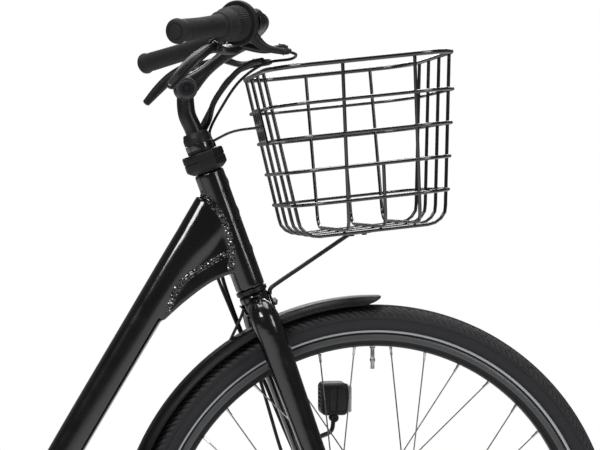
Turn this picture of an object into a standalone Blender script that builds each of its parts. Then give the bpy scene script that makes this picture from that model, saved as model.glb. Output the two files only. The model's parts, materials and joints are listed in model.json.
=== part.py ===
"""Step-through electric bicycle with a wire front basket.

Metres, +Z up, +X forward, the drive side on -Y. The origin lies on the ground under the middle of
the bicycle. Every piece that can be taken off on a bench is its own object.
"""
import bmesh
import bpy
from math import atan, atan2, cos, hypot, pi, radians, sin, tan
from mathutils import Matrix, Vector

GAP = 0.0003
SQUARE = 2 ** 0.5

# Wheels
TYRE_R = 0.358
TYRE_HEIGHT = 0.0415
TYRE_HALF_W = 0.0235
RIM_R = TYRE_R - TYRE_HEIGHT
RIM_DEPTH = 0.0185
RIM_HALF_W = 0.012
RIM_FLANGE = 0.0022
BEAD_DROP = 0.007
BEAD_R = RIM_R - BEAD_DROP
SPOKES = 36
SPOKE_R = 0.001
NIPPLE_R = 0.0019
NIPPLE_LEN = 0.012
SPOKE_SIDES = 3
SPOKE_SPREAD = 0.0024
WHEEL_STEPS = 40
FRONT_CENTRE = 0.655
REAR_CENTRE = 0.465
REAR_REACH = 0.42
HUB_Z = TYRE_R
XF = (FRONT_CENTRE + REAR_CENTRE + REAR_REACH - TYRE_R) / 2
XB = XF - FRONT_CENTRE
XR = XB - REAR_CENTRE
FRONT_OLN = 0.100
FRONT_AXLE_HALF = 0.066
REAR_OLN = 0.135
MOTOR_R = 0.0610
MOTOR_FLANGE_R = 0.0705
MOTOR_HALF_W = 0.038
MOTOR_FLANGE_Y = 0.0275
GEAR_HUB_R = 0.040
GEAR_FLANGE_R = 0.049
HOLE_INSET = 0.005
GEAR_HALF_W = 0.040
FLANGE_W = 0.005
AXLE_R = 0.0050
ROTOR_R = 0.090
ROTOR_Y = 0.0425
ROTOR_W = 0.0018

# Steering line, measured from the vertical
STEER_TAN = 0.36
AXIS_SETBACK = 0.0384
HEAD_R = 0.0215
HEAD_BORE_R = 0.0165
HEAD_LOW_Z = 0.7405
HEAD_TOP_Z = 0.9070
STEERER_R = 0.0143
STEERER_TOP_Z = 0.9340
QUILL_R = 0.0111
QUILL_LOW_Z = 0.860
STEM_R = 0.0127
CUP_H = 0.0070
CROWN_TOP_Z = HEAD_LOW_Z - CUP_H - 2 * GAP
LOW_COLLAR_R = 0.0315
LOW_COLLAR_TOP_Z = 0.9347
UP_COLLAR_R = 0.0198
UP_COLLAR_TOP_Z = 0.9625
BAND_Z = 0.9430
BAND_HALF_H = 0.004
BAND_W = 0.0030
BAND_IN_R = UP_COLLAR_R - BAND_W

# Fork
BLADE_Y = 0.052
BLADE_LOW_Y = 0.0585
BLADE_TOP_R = 0.0195
BLADE_MID_R = 0.0155
BLADE_END_R = 0.0100
DROPOUT_W = 0.006
CALIPER_TAB_W = 0.005
STRUT_BOLT_Z = 0.7130
STRUT_BOLT_R = 0.0030
STRUT_TAB_IN = 0.0213
STRUT_TAB_W = 0.0025

# Frame
BB_Z = 0.285
BB_R = 0.0225
BB_BORE_R = 0.0175
BB_HALF_W = 0.0365
SEAT_TAN = 0.325
SEAT_TUBE_R = 0.0175
SEAT_TUBE_TOP_Z = 0.660
POST_R = 0.0136
SEAT_BORE_Z = 0.390
STAY_R = 0.0075
GUSSET_HALF_W = 0.0175

# Drive
CHAIN_Y = 0.048
RING_TEETH = 38
COG_TEETH = 19
CHAIN_PITCH = 0.0127
RING_W = 0.003
CHAIN_W = 0.0075
CHAIN_H = 0.0080
CRANK_LEN = 0.170
CRANK_IN_Y = 0.0845
CRANK_W = 0.013
SPINDLE_R = 0.0085
PEDAL_PIN_R = 0.0045
PEDAL_LEN = 0.096
PEDAL_W = 0.066
PEDAL_H = 0.024
CASE_OUT_Y = 0.082
CASE_IN_Y = 0.056
CASE_WALL = 0.002
CASE_FRONT_R = 0.098
CASE_REAR_R = 0.060

# Mudguards
GUARD_CLEAR = 0.014
GUARD_LIP = 0.012
GUARD_R = TYRE_R + GUARD_CLEAR
GUARD_EDGE_R = GUARD_R - GUARD_LIP
GUARD_HALF_W = TYRE_HALF_W + 0.005
GUARD_WALL = 0.002
GUARD_DROP = 0.12
GUARD_STAY_R = 0.0025

# Handlebar and stem
PIVOT_X = -0.2688
PIVOT_Z = 1.0243
CLAMP_X = -0.1832
CLAMP_Z = 1.0978
PIVOT_R = 0.0165
BARREL_HALF_W = 0.0130
CHEEK_W = 0.006
BAR_R = 0.0127
BAR_STRAIGHT_Y = 0.130
BAR_END_Y = 0.292
BAR_BORE_R = (BAR_R + GAP) / cos(pi / 12)
CLAMP_IN_Y = 0.1325
CLAMP_OUT_Y = 0.1435
FLANGE_Y = 0.1610
BARREL_Y = 0.1705
GRIP_RIGHT_Y = 0.2080
GRIP_LEFT_Y = 0.1600
GRIP_R = 0.0148
SHIFTER_R = 0.0240
SHIFTER_FLANGE_R = 0.0305

# Basket
BASKET_X = -0.0405
BASKET_TOP_Z = 1.0568
BASKET_LEN = 0.262
BASKET_WIDTH = 0.320
BASKET_CORNER = 0.060
BASKET_TILT = radians(6.0)
BASKET_TAPER = radians(7.4)
BASKET_FIRST = 0.051
BASKET_STEP = 0.0457
BASKET_DEPTH = BASKET_FIRST + 4 * BASKET_STEP
RIM_WIRE_R = 0.0034
WIRE_R = 0.0025
WIRE_SIDES = 4

# Carrier and battery
CARRIER_Z = 0.800
CARRIER_HALF_W = 0.065
CARRIER_R = 0.0060
CARRIER_FRONT_X = -0.380
CARRIER_TAIL_X = XR - REAR_REACH + CARRIER_R
DOCK_Z = 0.7360
DOCK_WALL = 0.003
DOCK_HALF_W = CARRIER_HALF_W - CARRIER_R - GAP
BATTERY_LEN = 0.430
BATTERY_FRONT_X = -0.460

# Stand
STAND_X = -0.130
STAND_Z = 0.248
STAND_FOOT_Y = 0.115
STAND_R = 0.0075
STAND_BLOCK_Y = 0.020
STAND_PIN_R = 0.0045

# Saddle
SADDLE_LEN = 0.265
SADDLE_HALF_W = 0.105
SADDLE_NOSE_X = -0.140
RAIL_R = 0.0035
RAIL_Y = 0.022
RAIL_Z = 0.912


def clear_scene():
    for old in list(bpy.data.objects):
        bpy.data.objects.remove(old, do_unlink=True)


def paint(name, color, roughness, metallic=0.0):
    mat = bpy.data.materials.new(name)
    mat.use_nodes = True
    shader = mat.node_tree.nodes["Principled BSDF"]
    shader.inputs["Base Color"].default_value = (*color, 1.0)
    shader.inputs["Roughness"].default_value = roughness
    shader.inputs["Metallic"].default_value = metallic
    mat.diffuse_color = (*color, 1.0)
    return mat


def to_object(name, bm, mat, origin=(0.0, 0.0, 0.0)):
    bmesh.ops.recalc_face_normals(bm, faces=bm.faces)
    bmesh.ops.translate(bm, verts=bm.verts, vec=-Vector(origin))
    mesh = bpy.data.meshes.new(name)
    bm.to_mesh(mesh)
    bm.free()
    mesh.shade_smooth()
    mesh.set_sharp_from_angle(angle=radians(35))
    obj = bpy.data.objects.new(name, mesh)
    obj.location = origin
    bpy.context.scene.collection.objects.link(obj)
    if mat:
        mesh.materials.append(mat)
    return obj


def loft(rings, closed=False):
    """Skin a list of point rings. closed joins the last ring to the first, else both ends are capped."""
    bm = bmesh.new()
    rows = [[bm.verts.new(p) for p in ring] for ring in rings]
    count = len(rows[0])
    last = len(rows) if closed else len(rows) - 1
    for i in range(last):
        low = rows[i]
        high = rows[(i + 1) % len(rows)]
        for k in range(count):
            bm.faces.new((low[k], low[(k + 1) % count], high[(k + 1) % count], high[k]))
    if not closed:
        bm.faces.new(list(reversed(rows[0])))
        bm.faces.new(rows[-1])
    return bm


def path_frames(points, up=Vector((0, 1, 0))):
    """Tangent, side and normal at each point of a path, turned as little as possible along it."""
    frames = []
    side = None
    for i, p in enumerate(points):
        ahead = points[min(i + 1, len(points) - 1)] - points[max(i - 1, 0)]
        tangent = ahead.normalized()
        if side is None:
            side = up - tangent * up.dot(tangent)
            if side.length < 1e-4:
                side = Vector((1, 0, 0)) - tangent * tangent.x
        else:
            side = side - tangent * side.dot(tangent)
        side.normalize()
        frames.append((p, tangent, side.copy(), tangent.cross(side)))
    return frames


def tube_bm(points, radii, sides=12, depth=None, turn=0.0, power=2.0, up=Vector((0, 1, 0))):
    """A bar along a path. radii are half widths along Y, depth the half heights where they differ."""
    points = [Vector(p) for p in points]
    if not hasattr(radii, "__len__"):
        radii = [radii] * len(points)
    depth = depth or radii
    rings = []
    for (p, _, side, normal), a, b in zip(path_frames(points, up), radii, depth):
        ring = []
        for k in range(sides):
            angle = turn + 2 * pi * k / sides
            c = cos(angle)
            s = sin(angle)
            c = abs(c) ** (2 / power) * (1 if c >= 0 else -1)
            s = abs(s) ** (2 / power) * (1 if s >= 0 else -1)
            ring.append(p + side * (a * c) + normal * (b * s))
        rings.append(ring)
    return loft(rings)


def smooth_path(points, per_span=4):
    """Points on a Catmull-Rom curve through the given points."""
    pts = [Vector(p) for p in points]
    pts = [pts[0] * 2 - pts[1]] + pts + [pts[-1] * 2 - pts[-2]]
    out = []
    for i in range(1, len(pts) - 2):
        for k in range(per_span):
            t = k / per_span
            a, b, c, d = pts[i - 1], pts[i], pts[i + 1], pts[i + 2]
            out.append(0.5 * ((2 * b) + (c - a) * t + (2 * a - 5 * b + 4 * c - d) * t * t
                              + (3 * b - a - 3 * c + d) * t * t * t))
    out.append(pts[-2])
    return out


def turned_bm(profile, centre, axis=Vector((0, 1, 0)), steps=24, start=0.0):
    """A solid of revolution. profile lists (radius, distance along the axis) round a closed section."""
    axis = Vector(axis).normalized()
    turn = axis.to_track_quat("Z", "Y").to_matrix()
    if abs(axis.y) > 0.999:
        turn = Matrix(((1, 0, 0), (0, 0, axis.y), (0, 1, 0)))
    centre = Vector(centre)
    bm = bmesh.new()
    rows = []
    for r, h in profile:
        if r < 1e-9:
            rows.append([bm.verts.new(centre + axis * h)])
            continue
        row = []
        for k in range(steps):
            a = start + 2 * pi * k / steps
            row.append(bm.verts.new(centre + turn @ Vector((r * cos(a), r * sin(a), 0)) + axis * h))
        rows.append(row)
    solid = len(rows[0]) == 1
    last = len(rows) - 1 if solid else len(rows)
    for i in range(last):
        low = rows[i]
        high = rows[(i + 1) % len(rows)]
        for k in range(steps):
            n = (k + 1) % steps
            if len(low) == 1:
                bm.faces.new((low[0], high[n], high[k]))
            elif len(high) == 1:
                bm.faces.new((low[k], low[n], high[0]))
            else:
                bm.faces.new((low[k], low[n], high[n], high[k]))
    return bm


def disc_profile(radius, low, high):
    return [(0, low), (radius, low), (radius, high), (0, high)]


def ring_profile(inner, outer, low, high):
    return [(inner, low), (outer, low), (outer, high), (inner, high)]


def plate_bm(outline, y_low, y_high):
    """A flat plate, its outline given in X and Z."""
    return loft([[Vector((x, y_low, z)) for x, z in outline], [Vector((x, y_high, z)) for x, z in outline]])


def box_bm(low, high):
    low = Vector(low)
    high = Vector(high)
    bm = bmesh.new()
    bmesh.ops.create_cube(bm, size=1.0)
    bmesh.ops.scale(bm, verts=bm.verts, vec=high - low)
    bmesh.ops.translate(bm, verts=bm.verts, vec=(high + low) / 2)
    return bm


def soft_box_bm(low, high, bevel, segments=2):
    bm = box_bm(low, high)
    bmesh.ops.bevel(bm, geom=list(bm.edges), offset=bevel, segments=segments, profile=0.5, affect="EDGES")
    return bm


def bake(obj):
    """Replace the object's mesh with its evaluated one and drop its modifiers."""
    graph = bpy.context.evaluated_depsgraph_get()
    mesh = bpy.data.meshes.new_from_object(obj.evaluated_get(graph))
    obj.modifiers.clear()
    bm = bmesh.new()
    bm.from_mesh(mesh)
    bmesh.ops.dissolve_degenerate(bm, edges=bm.edges, dist=0.00001)
    bm.to_mesh(mesh)
    bm.free()
    obj.data = mesh
    mesh.shade_smooth()
    mesh.set_sharp_from_angle(angle=radians(35))


def combine(base, tools, operation, keep=False):
    for tool in tools:
        mod = base.modifiers.new("bool", "BOOLEAN")
        mod.operation = operation
        mod.solver = "EXACT"
        mod.object = tool
    bpy.context.view_layer.update()
    bake(base)
    if not keep:
        for tool in tools:
            bpy.data.objects.remove(tool, do_unlink=True)
    return base


def weld(base, bms):
    """Union further bodies with the base object."""
    tools = [bm if isinstance(bm, bpy.types.Object) else to_object("tool", bm, None) for bm in bms]
    return combine(base, tools, "UNION")


def bored(bm, bore):
    """A body with its hole made before it is joined to others."""
    return combine(to_object("tool", bm, None), [to_object("tool", bore, None)], "DIFFERENCE")


def cut(base, bms):
    tools = [to_object("tool", bm, None) for bm in bms]
    return combine(base, tools, "DIFFERENCE")


def steer_point(z, ahead=0.0, y=0.0):
    """A point on the steering axis at a height, or ahead of it square to the axis."""
    return Vector((XF - AXIS_SETBACK - STEER_TAN * (z - HUB_Z) + ahead * cos(STEER_LEAN), y,
                   z + ahead * sin(STEER_LEAN)))


STEER_LEAN = atan(STEER_TAN)
STEER_DIR = Vector((-STEER_TAN, 0, 1)).normalized()


def steer_height(z):
    """Distance along the steering axis above the head tube's lower end."""
    return (z - HEAD_LOW_Z) / STEER_DIR.z


def turned_on_steer(profile_z, steps=16, start=0.0):
    """A body turned about the steering axis from (radius, height z) pairs."""
    base = steer_point(HEAD_LOW_Z)
    return turned_bm([(r, steer_height(z)) for r, z in profile_z], base, STEER_DIR, steps, start)


def seat_point(z, y=0.0):
    return Vector((XB - SEAT_TAN * (z - BB_Z), y, z))


SEAT_DIR = Vector((-SEAT_TAN, 0, 1)).normalized()


def rel(x, z, y=0.0):
    """A point given from the front hub's station."""
    return Vector((XF + x, y, z))


def mirror_y(points):
    return [Vector((p[0], -p[1], p[2])) for p in points]


def make_materials():
    return {
        "black_paint": paint("black_paint", (0.010, 0.010, 0.011), 0.22),
        "satin_black": paint("satin_black", (0.016, 0.016, 0.017), 0.42),
        "plastic": paint("plastic", (0.020, 0.020, 0.021), 0.55),
        "rubber": paint("rubber", (0.022, 0.022, 0.023), 0.75),
        "tyre": paint("tyre", (0.030, 0.030, 0.031), 0.80),
        "rim": paint("rim", (0.060, 0.062, 0.065), 0.40, 0.6),
        "steel": paint("steel", (0.62, 0.62, 0.63), 0.30, 1.0),
        "dark_metal": paint("dark_metal", (0.06, 0.06, 0.065), 0.38, 0.8),
        "lens": paint("lens", (0.75, 0.77, 0.80), 0.08),
        "red_lens": paint("red_lens", (0.45, 0.02, 0.02), 0.15),
        "saddle": paint("saddle", (0.018, 0.018, 0.019), 0.62),
    }


def rim_profile():
    """Box section with a shallow well, from the spoke face outward."""
    inner = RIM_R - RIM_DEPTH
    bed = RIM_HALF_W - RIM_FLANGE
    spoke_face = RIM_HALF_W * 0.54
    shoulder = inner + RIM_DEPTH * 0.3
    return [(inner, -spoke_face), (shoulder, -RIM_HALF_W), (RIM_R, -RIM_HALF_W), (BEAD_R - GAP, -bed),
            (BEAD_R - GAP, bed), (RIM_R, RIM_HALF_W), (shoulder, RIM_HALF_W), (inner, spoke_face)]


def tyre_profile():
    """Bead between the rim flanges, bulging sidewalls and a round crown."""
    bead = RIM_HALF_W - RIM_FLANGE - GAP
    half = [(BEAD_R, bead)]
    for rise, spread in ((0.03, 0.45), (0.33, 0.94), (0.74, 0.92), (1.0, 0.26)):
        half.append((RIM_R + TYRE_HEIGHT * rise, TYRE_HALF_W * spread))
    return half + [(r, -y) for r, y in reversed(half)]


def spoke_bms(hub_x, flange_hole_r, flange_y, lacing):
    """Crossed spokes in leading and trailing pairs, alternately on the two flanges.

    lacing is how many spoke pitches the hub end lies from the rim end.
    """
    bms = []
    rim_end = (RIM_R - RIM_DEPTH) * cos(pi / WHEEL_STEPS) - GAP
    pitch = 2 * pi / SPOKES
    for i in range(SPOKES):
        rim_angle = (i + 0.5) * pitch
        side = 1 if i % 2 else -1
        lead = 1 if ((i + 1) // 2) % 2 else -1
        hub_angle = rim_angle + lead * lacing * pitch
        start = Vector((hub_x + flange_hole_r * cos(hub_angle), side * flange_y + SPOKE_SPREAD * lead,
                        HUB_Z + flange_hole_r * sin(hub_angle)))
        end = Vector((hub_x + rim_end * cos(rim_angle), side * 0.002, HUB_Z + rim_end * sin(rim_angle)))
        neck = end - (end - start).normalized() * NIPPLE_LEN
        bms.append(tube_bm([start, neck, end], [SPOKE_R, SPOKE_R, NIPPLE_R], sides=SPOKE_SIDES))
    return bms


def joined(name, bms, mat):
    """Several loose bodies in one mesh, for use as one Boolean operand."""
    out = bmesh.new()
    for bm in bms:
        mesh = bpy.data.meshes.new("tmp")
        bm.to_mesh(mesh)
        bm.free()
        out.from_mesh(mesh)
        bpy.data.meshes.remove(mesh)
    return to_object(name, out, mat)


def make_wheel(prefix, hub_x, hub_name, hub_bm, hole_r, flange_y, lacing, mats, finish):
    centre = (hub_x, 0, HUB_Z)
    to_object(prefix + "_rim", turned_bm(rim_profile(), centre, steps=WHEEL_STEPS), mats["rim"], centre)
    to_object(prefix + "_tyre", turned_bm(tyre_profile(), centre, steps=WHEEL_STEPS), mats["tyre"], centre)
    hub = to_object(hub_name, hub_bm, mats[finish], centre)
    spokes = joined("spokes", spoke_bms(hub_x, hole_r, flange_y, lacing), None)
    combine(hub, [spokes], "UNION")
    return hub


def drum_profile(body_r, flange_r, half_w, flange_y, bore_r):
    """Hub shell: two spoke flanges on a barrel with rounded end caps and a bore for the axle."""
    low = flange_y - FLANGE_W / 2
    high = flange_y + FLANGE_W / 2
    half = [(bore_r, half_w), (body_r * 0.45, half_w), (body_r * 0.92, high + 0.002),
            (flange_r, high), (flange_r, low), (body_r, low - 0.002)]
    return half + [(r, -y) for r, y in reversed(half)]


def make_front_wheel(mats):
    bm = turned_bm(drum_profile(MOTOR_R, MOTOR_FLANGE_R, MOTOR_HALF_W, MOTOR_FLANGE_Y, AXLE_R + GAP),
                   (XF, 0, HUB_Z), steps=18)
    make_wheel("front", XF, "front_motor_hub", bm, MOTOR_FLANGE_R - HOLE_INSET, MOTOR_FLANGE_Y, 4, mats,
               "satin_black")
    rotor = to_object("front_brake_disc", turned_bm(
        ring_profile(ROTOR_R - 0.016, ROTOR_R, ROTOR_Y, ROTOR_Y + ROTOR_W), (XF, 0, HUB_Z), steps=32),
        mats["steel"], (XF, 0, HUB_Z))
    arms = [turned_bm(ring_profile(AXLE_R + 0.008, 0.026, MOTOR_HALF_W + GAP, ROTOR_Y + ROTOR_W),
                      (XF, 0, HUB_Z), steps=12)]
    for i in range(6):
        a = 2 * pi * i / 6
        lean = a + radians(24)
        foot = Vector((XF + 0.023 * cos(a), ROTOR_Y + ROTOR_W / 2, HUB_Z + 0.023 * sin(a)))
        tip = Vector((XF + 0.080 * cos(lean), ROTOR_Y + ROTOR_W / 2, HUB_Z + 0.080 * sin(lean)))
        arms.append(tube_bm([foot, tip], 0.0037, sides=4, turn=pi / 4, depth=[ROTOR_W / 2 * SQUARE] * 2,
                            up=Vector((tip - foot).cross(Vector((0, 1, 0))))))
    weld(rotor, arms)
    axle = to_object("front_axle", turned_bm(disc_profile(AXLE_R, -FRONT_AXLE_HALF, FRONT_AXLE_HALF),
                                              (XF, 0, HUB_Z), steps=10),
                     mats["steel"])
    nut_in = FRONT_OLN / 2 + DROPOUT_W + 2 * GAP
    nuts = [turned_bm(disc_profile(0.0095, side * nut_in, side * (nut_in + 0.008)), (XF, 0, HUB_Z), steps=6)
            for side in (1, -1)]
    spacer_in = MOTOR_HALF_W + GAP
    nuts.append(turned_bm(disc_profile(0.0085, -FRONT_OLN / 2, -spacer_in), (XF, 0, HUB_Z), steps=10))
    nuts.append(turned_bm(disc_profile(0.0085, spacer_in, FRONT_OLN / 2), (XF, 0, HUB_Z), steps=10))
    weld(axle, nuts)


def valve(name, hub_x, mats):
    """Valve stem standing into the wheel between two spokes, at the top of the rim."""
    root = RIM_R - RIM_DEPTH - 0.0044 * tan(pi / WHEEL_STEPS) - GAP
    profile = [(0, -root), (0.0044, -root), (0.0044, -root + 0.0022), (0.0030, -root + 0.0022),
               (0.0030, -root + 0.016), (0.0040, -root + 0.018), (0.0040, -root + 0.021),
               (0.0030, -root + 0.023), (0.0030, -root + 0.032), (0, -root + 0.032)]
    stem = turned_bm([(r, -h) for r, h in profile], (hub_x, 0, HUB_Z), Vector((0, 0, 1)), 8)
    return to_object(name, stem, mats["steel"], (hub_x, 0, HUB_Z))


def gear_outline(teeth, root_r, tip_r, centre, phase=0.0):
    points = []
    for i in range(teeth):
        for r, f in ((root_r, 0.0), (tip_r, 0.5)):
            a = phase + 2 * pi * (i + f) / teeth
            points.append((centre[0] + r * cos(a), centre[1] + r * sin(a)))
    return points


def pitch_radius(teeth):
    return CHAIN_PITCH / 2 / sin(pi / teeth)


def loop_outline(r_front, r_rear, steps=14):
    """Outline that wraps a circle at the cranks and one at the rear hub, joined by tangents."""
    dx = XB - XR
    dz = BB_Z - HUB_Z
    span = hypot(dx, dz)
    base = atan2(dz, dx)
    lean = atan2(r_front - r_rear, span)
    points = []
    for k in range(steps + 1):
        a = base + pi / 2 - (pi + 2 * lean) * k / steps + lean
        points.append((XB + r_front * cos(a), BB_Z + r_front * sin(a)))
    back = max(6, steps // 2)
    for k in range(back + 1):
        a = base - pi / 2 - lean - (pi - 2 * lean) * k / back
        points.append((XR + r_rear * cos(a), HUB_Z + r_rear * sin(a)))
    return points


def make_rear_wheel(mats):
    bm = turned_bm(drum_profile(GEAR_HUB_R, GEAR_FLANGE_R, GEAR_HALF_W, MOTOR_FLANGE_Y, AXLE_R + GAP),
                   (XR, 0, HUB_Z), steps=16)
    make_wheel("rear", XR, "rear_gear_hub", bm, GEAR_FLANGE_R - HOLE_INSET, MOTOR_FLANGE_Y, 6, mats,
               "dark_metal")
    half = REAR_OLN / 2
    axle = to_object("rear_axle", turned_bm(disc_profile(AXLE_R, -half - 0.019, half + 0.019),
                                            (XR, 0, HUB_Z), steps=10), mats["steel"])
    nut_in = half + DROPOUT_W + 2 * GAP
    centre = (XR, 0, HUB_Z)
    parts = [turned_bm(disc_profile(0.0095, side * nut_in, side * (nut_in + 0.008)), centre, steps=6)
             for side in (1, -1)]
    spacer = disc_profile(0.009, -half, -CHAIN_Y - RING_W / 2 - GAP)
    parts.append(turned_bm(spacer, (XR, 0, HUB_Z), steps=10))
    weld(axle, parts)
    cog_r = pitch_radius(COG_TEETH)
    cog = to_object("rear_sprocket", plate_bm(gear_outline(COG_TEETH, cog_r - 0.0045, cog_r - 0.0004,
                                                           (XR, HUB_Z)), -CHAIN_Y - RING_W / 2,
                                              -CHAIN_Y + RING_W / 2), mats["dark_metal"], (XR, 0, HUB_Z))
    weld(cog, [turned_bm(disc_profile(0.021, -CHAIN_Y + RING_W / 4, -GEAR_HALF_W - GAP), (XR, 0, HUB_Z),
                         steps=20)])
    cut(cog, [turned_bm(disc_profile(AXLE_R + GAP, -0.06, -0.03), (XR, 0, HUB_Z), steps=16)])
    brake = to_object("rear_roller_brake", turned_bm(
        [(AXLE_R + GAP, GEAR_HALF_W + GAP), (0.038, GEAR_HALF_W + GAP), (0.042, GEAR_HALF_W + 0.004),
         (0.042, 0.056), (0.036, 0.060), (0.018, half - GAP), (AXLE_R + GAP, half - GAP)],
        (XR, 0, HUB_Z), steps=16), mats["dark_metal"])
    arm = plate_bm([(XR + 0.010, HUB_Z - 0.032), (XR + 0.036, HUB_Z - 0.018), (XR + 0.150, HUB_Z - 0.046),
                    (XR + 0.150, HUB_Z - 0.056)], 0.0535, 0.0565)
    weld(brake, [arm])


def make_drive(mats):
    ring_r = pitch_radius(RING_TEETH)
    centre = (XB, 0, BB_Z)
    low = -CHAIN_Y - RING_W / 2
    high = -CHAIN_Y + RING_W / 2
    ring = to_object("chainring", plate_bm(gear_outline(RING_TEETH, ring_r - 0.0045, ring_r - 0.0004,
                                                        (XB, BB_Z)), low, high), mats["dark_metal"], centre)
    holes = [turned_bm(disc_profile(SPINDLE_R + GAP, low - 0.01, high + 0.01), centre, steps=20)]
    for i in range(5):
        a = 2 * pi * (i + 0.5) / 5
        holes.append(turned_bm(disc_profile(0.0155, low - 0.01, high + 0.01),
                               (XB + 0.043 * cos(a), 0, BB_Z + 0.043 * sin(a)), steps=9))
    cut(ring, holes)
    half = CHAIN_W / 2
    tip = 0.0006
    cog_r = pitch_radius(COG_TEETH)
    outer = loop_outline(ring_r + tip + CHAIN_H, cog_r + tip + CHAIN_H, 16)
    inner = loop_outline(ring_r + tip, cog_r + tip, 16)
    rings = []
    for k in range(len(outer)):
        o = outer[k]
        n = inner[k]
        rings.append([Vector((o[0], -CHAIN_Y - half, o[1])), Vector((o[0], -CHAIN_Y + half, o[1])),
                      Vector((n[0], -CHAIN_Y + half, n[1])), Vector((n[0], -CHAIN_Y - half, n[1]))])
    to_object("chain", loft(rings, closed=True), mats["steel"])
    spindle = [turned_bm(disc_profile(SPINDLE_R, -CRANK_IN_Y - 0.002, CRANK_IN_Y + CRANK_W + GAP), centre,
                         steps=16)]
    crank_right = make_crank("crank_right", -1, mats)
    weld(crank_right, spindle)
    crank_left = make_crank("crank_left", 1, mats)
    cut(crank_left, [turned_bm(disc_profile(SPINDLE_R + GAP, 0.05, 0.12), centre, steps=16)])
    for side, name in ((-1, "pedal_right"), (1, "pedal_left")):
        make_pedal(name, side, mats)
    make_chain_case(mats)
    bore = SPINDLE_R + GAP
    lip = BB_HALF_W + 0.003
    seat = BB_HALF_W + GAP
    to_object("bottom_bracket_bearings", turned_bm(
        [(bore, -lip), (BB_R - 0.001, -lip), (BB_R - 0.001, -seat), (BB_BORE_R - GAP, -seat),
         (BB_BORE_R - GAP, seat), (BB_R - 0.001, seat), (BB_R - 0.001, lip), (bore, lip)],
        centre, steps=16), mats["steel"])


def crank_tip(side):
    """The right crank points forward at rest and the left one back."""
    return Vector((XB - side * CRANK_LEN, side * (CRANK_IN_Y + CRANK_W / 2), BB_Z))


def make_crank(name, side, mats):
    hub = Vector((XB, side * (CRANK_IN_Y + CRANK_W / 2), BB_Z))
    tip = crank_tip(side)
    run = (tip - hub).normalized()
    stations = [-0.016, -0.011, 0.0, 0.016, 0.060, 0.120, CRANK_LEN - 0.010, CRANK_LEN + 0.006,
                CRANK_LEN + 0.013]
    heights = [0.006, 0.0145, 0.0175, 0.0160, 0.0120, 0.0105, 0.0125, 0.0105, 0.0045]
    points = [hub + run * s for s in stations]
    crank = to_object(name, tube_bm(points, [CRANK_W / 2] * len(points), sides=8, depth=heights,
                                    turn=pi / 8, power=3.4), mats["satin_black"], (XB, 0, BB_Z))
    low = side * CRANK_IN_Y
    high = side * (CRANK_IN_Y + CRANK_W + 0.002 + PEDAL_LEN - 0.006)
    pin = turned_bm(disc_profile(PEDAL_PIN_R, low + side * 0.003, high), (tip.x, 0, tip.z), steps=12)
    weld(crank, [pin])
    return crank


def make_pedal(name, side, mats):
    tip = crank_tip(side)
    low = side * (CRANK_IN_Y + CRANK_W + 0.002)
    high = low + side * PEDAL_LEN
    y_low = min(low, high)
    y_high = max(low, high)
    half = PEDAL_W / 2
    body = to_object(name, soft_box_bm((tip.x - half, y_low, tip.z - PEDAL_H / 2),
                                       (tip.x + half, y_high, tip.z + PEDAL_H / 2), 0.004, 1),
                     mats["rubber"], (tip.x, 0, tip.z))
    tools = []
    for hand in (1, -1):
        near = tip.x + hand * 0.0125
        far = tip.x + hand * (half - 0.008)
        tools.append(box_bm((min(near, far), y_low + 0.012, tip.z - 0.03),
                            (max(near, far), y_high - 0.012, tip.z + 0.03)))
    tools.append(turned_bm(disc_profile(PEDAL_PIN_R + GAP, y_low - 0.01, y_high + 0.01), (tip.x, 0, tip.z),
                           steps=12))
    cut(body, tools)


def make_chain_case(mats):
    """Outer half of the chain case: a plate outside the chain with a rim round its edge."""
    outer = loop_outline(CASE_FRONT_R, CASE_REAR_R, 16)
    inner = loop_outline(CASE_FRONT_R - CASE_WALL, CASE_REAR_R - CASE_WALL, 16)
    case = to_object("chain_case", plate_bm(outer, -CASE_OUT_Y, -CASE_IN_Y), mats["plastic"])
    tools = [plate_bm(inner, -CASE_OUT_Y + CASE_WALL, -CASE_IN_Y + 0.01),
             turned_bm(disc_profile(0.022, -0.10, -0.05), (XB, 0, BB_Z), steps=20),
             box_bm((XR - 0.2, -0.10, HUB_Z - 0.2), (XR + 0.046, -0.05, HUB_Z + 0.2)),
             tube_bm(stay_path(-1)[:3], 0.0135, sides=8)]
    cut(case, tools)
    bosses = []
    for x, y, z in ((XR + 0.22, 0.0480, BB_Z + 0.034), (XR + 0.29, 0.0436, BB_Z + 0.0226)):
        boss = disc_profile(0.0040, -CASE_OUT_Y + CASE_WALL / 2, -y - STAY_R - 2 * GAP - 0.0004)
        bosses.append(turned_bm(boss, (x, 0, z), steps=8))
    weld(case, bosses)


def stay_path(side):
    """Seat stay from the dropout up to the seat tube."""
    top = seat_point(0.622)
    foot = Vector((XR + 0.006, side * (REAR_OLN + DROPOUT_W + GAP) / 2, HUB_Z + 0.022))
    span = top - foot
    points = [foot]
    for t, y in ((0.25, 0.062), (0.55, 0.052), (0.82, 0.0425), (0.95, 0.026)):
        p = foot + span * t
        points.append(Vector((p.x, side * y, p.z)))
    points.append(Vector((top.x, side * 0.004, top.z)))
    return points


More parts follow.
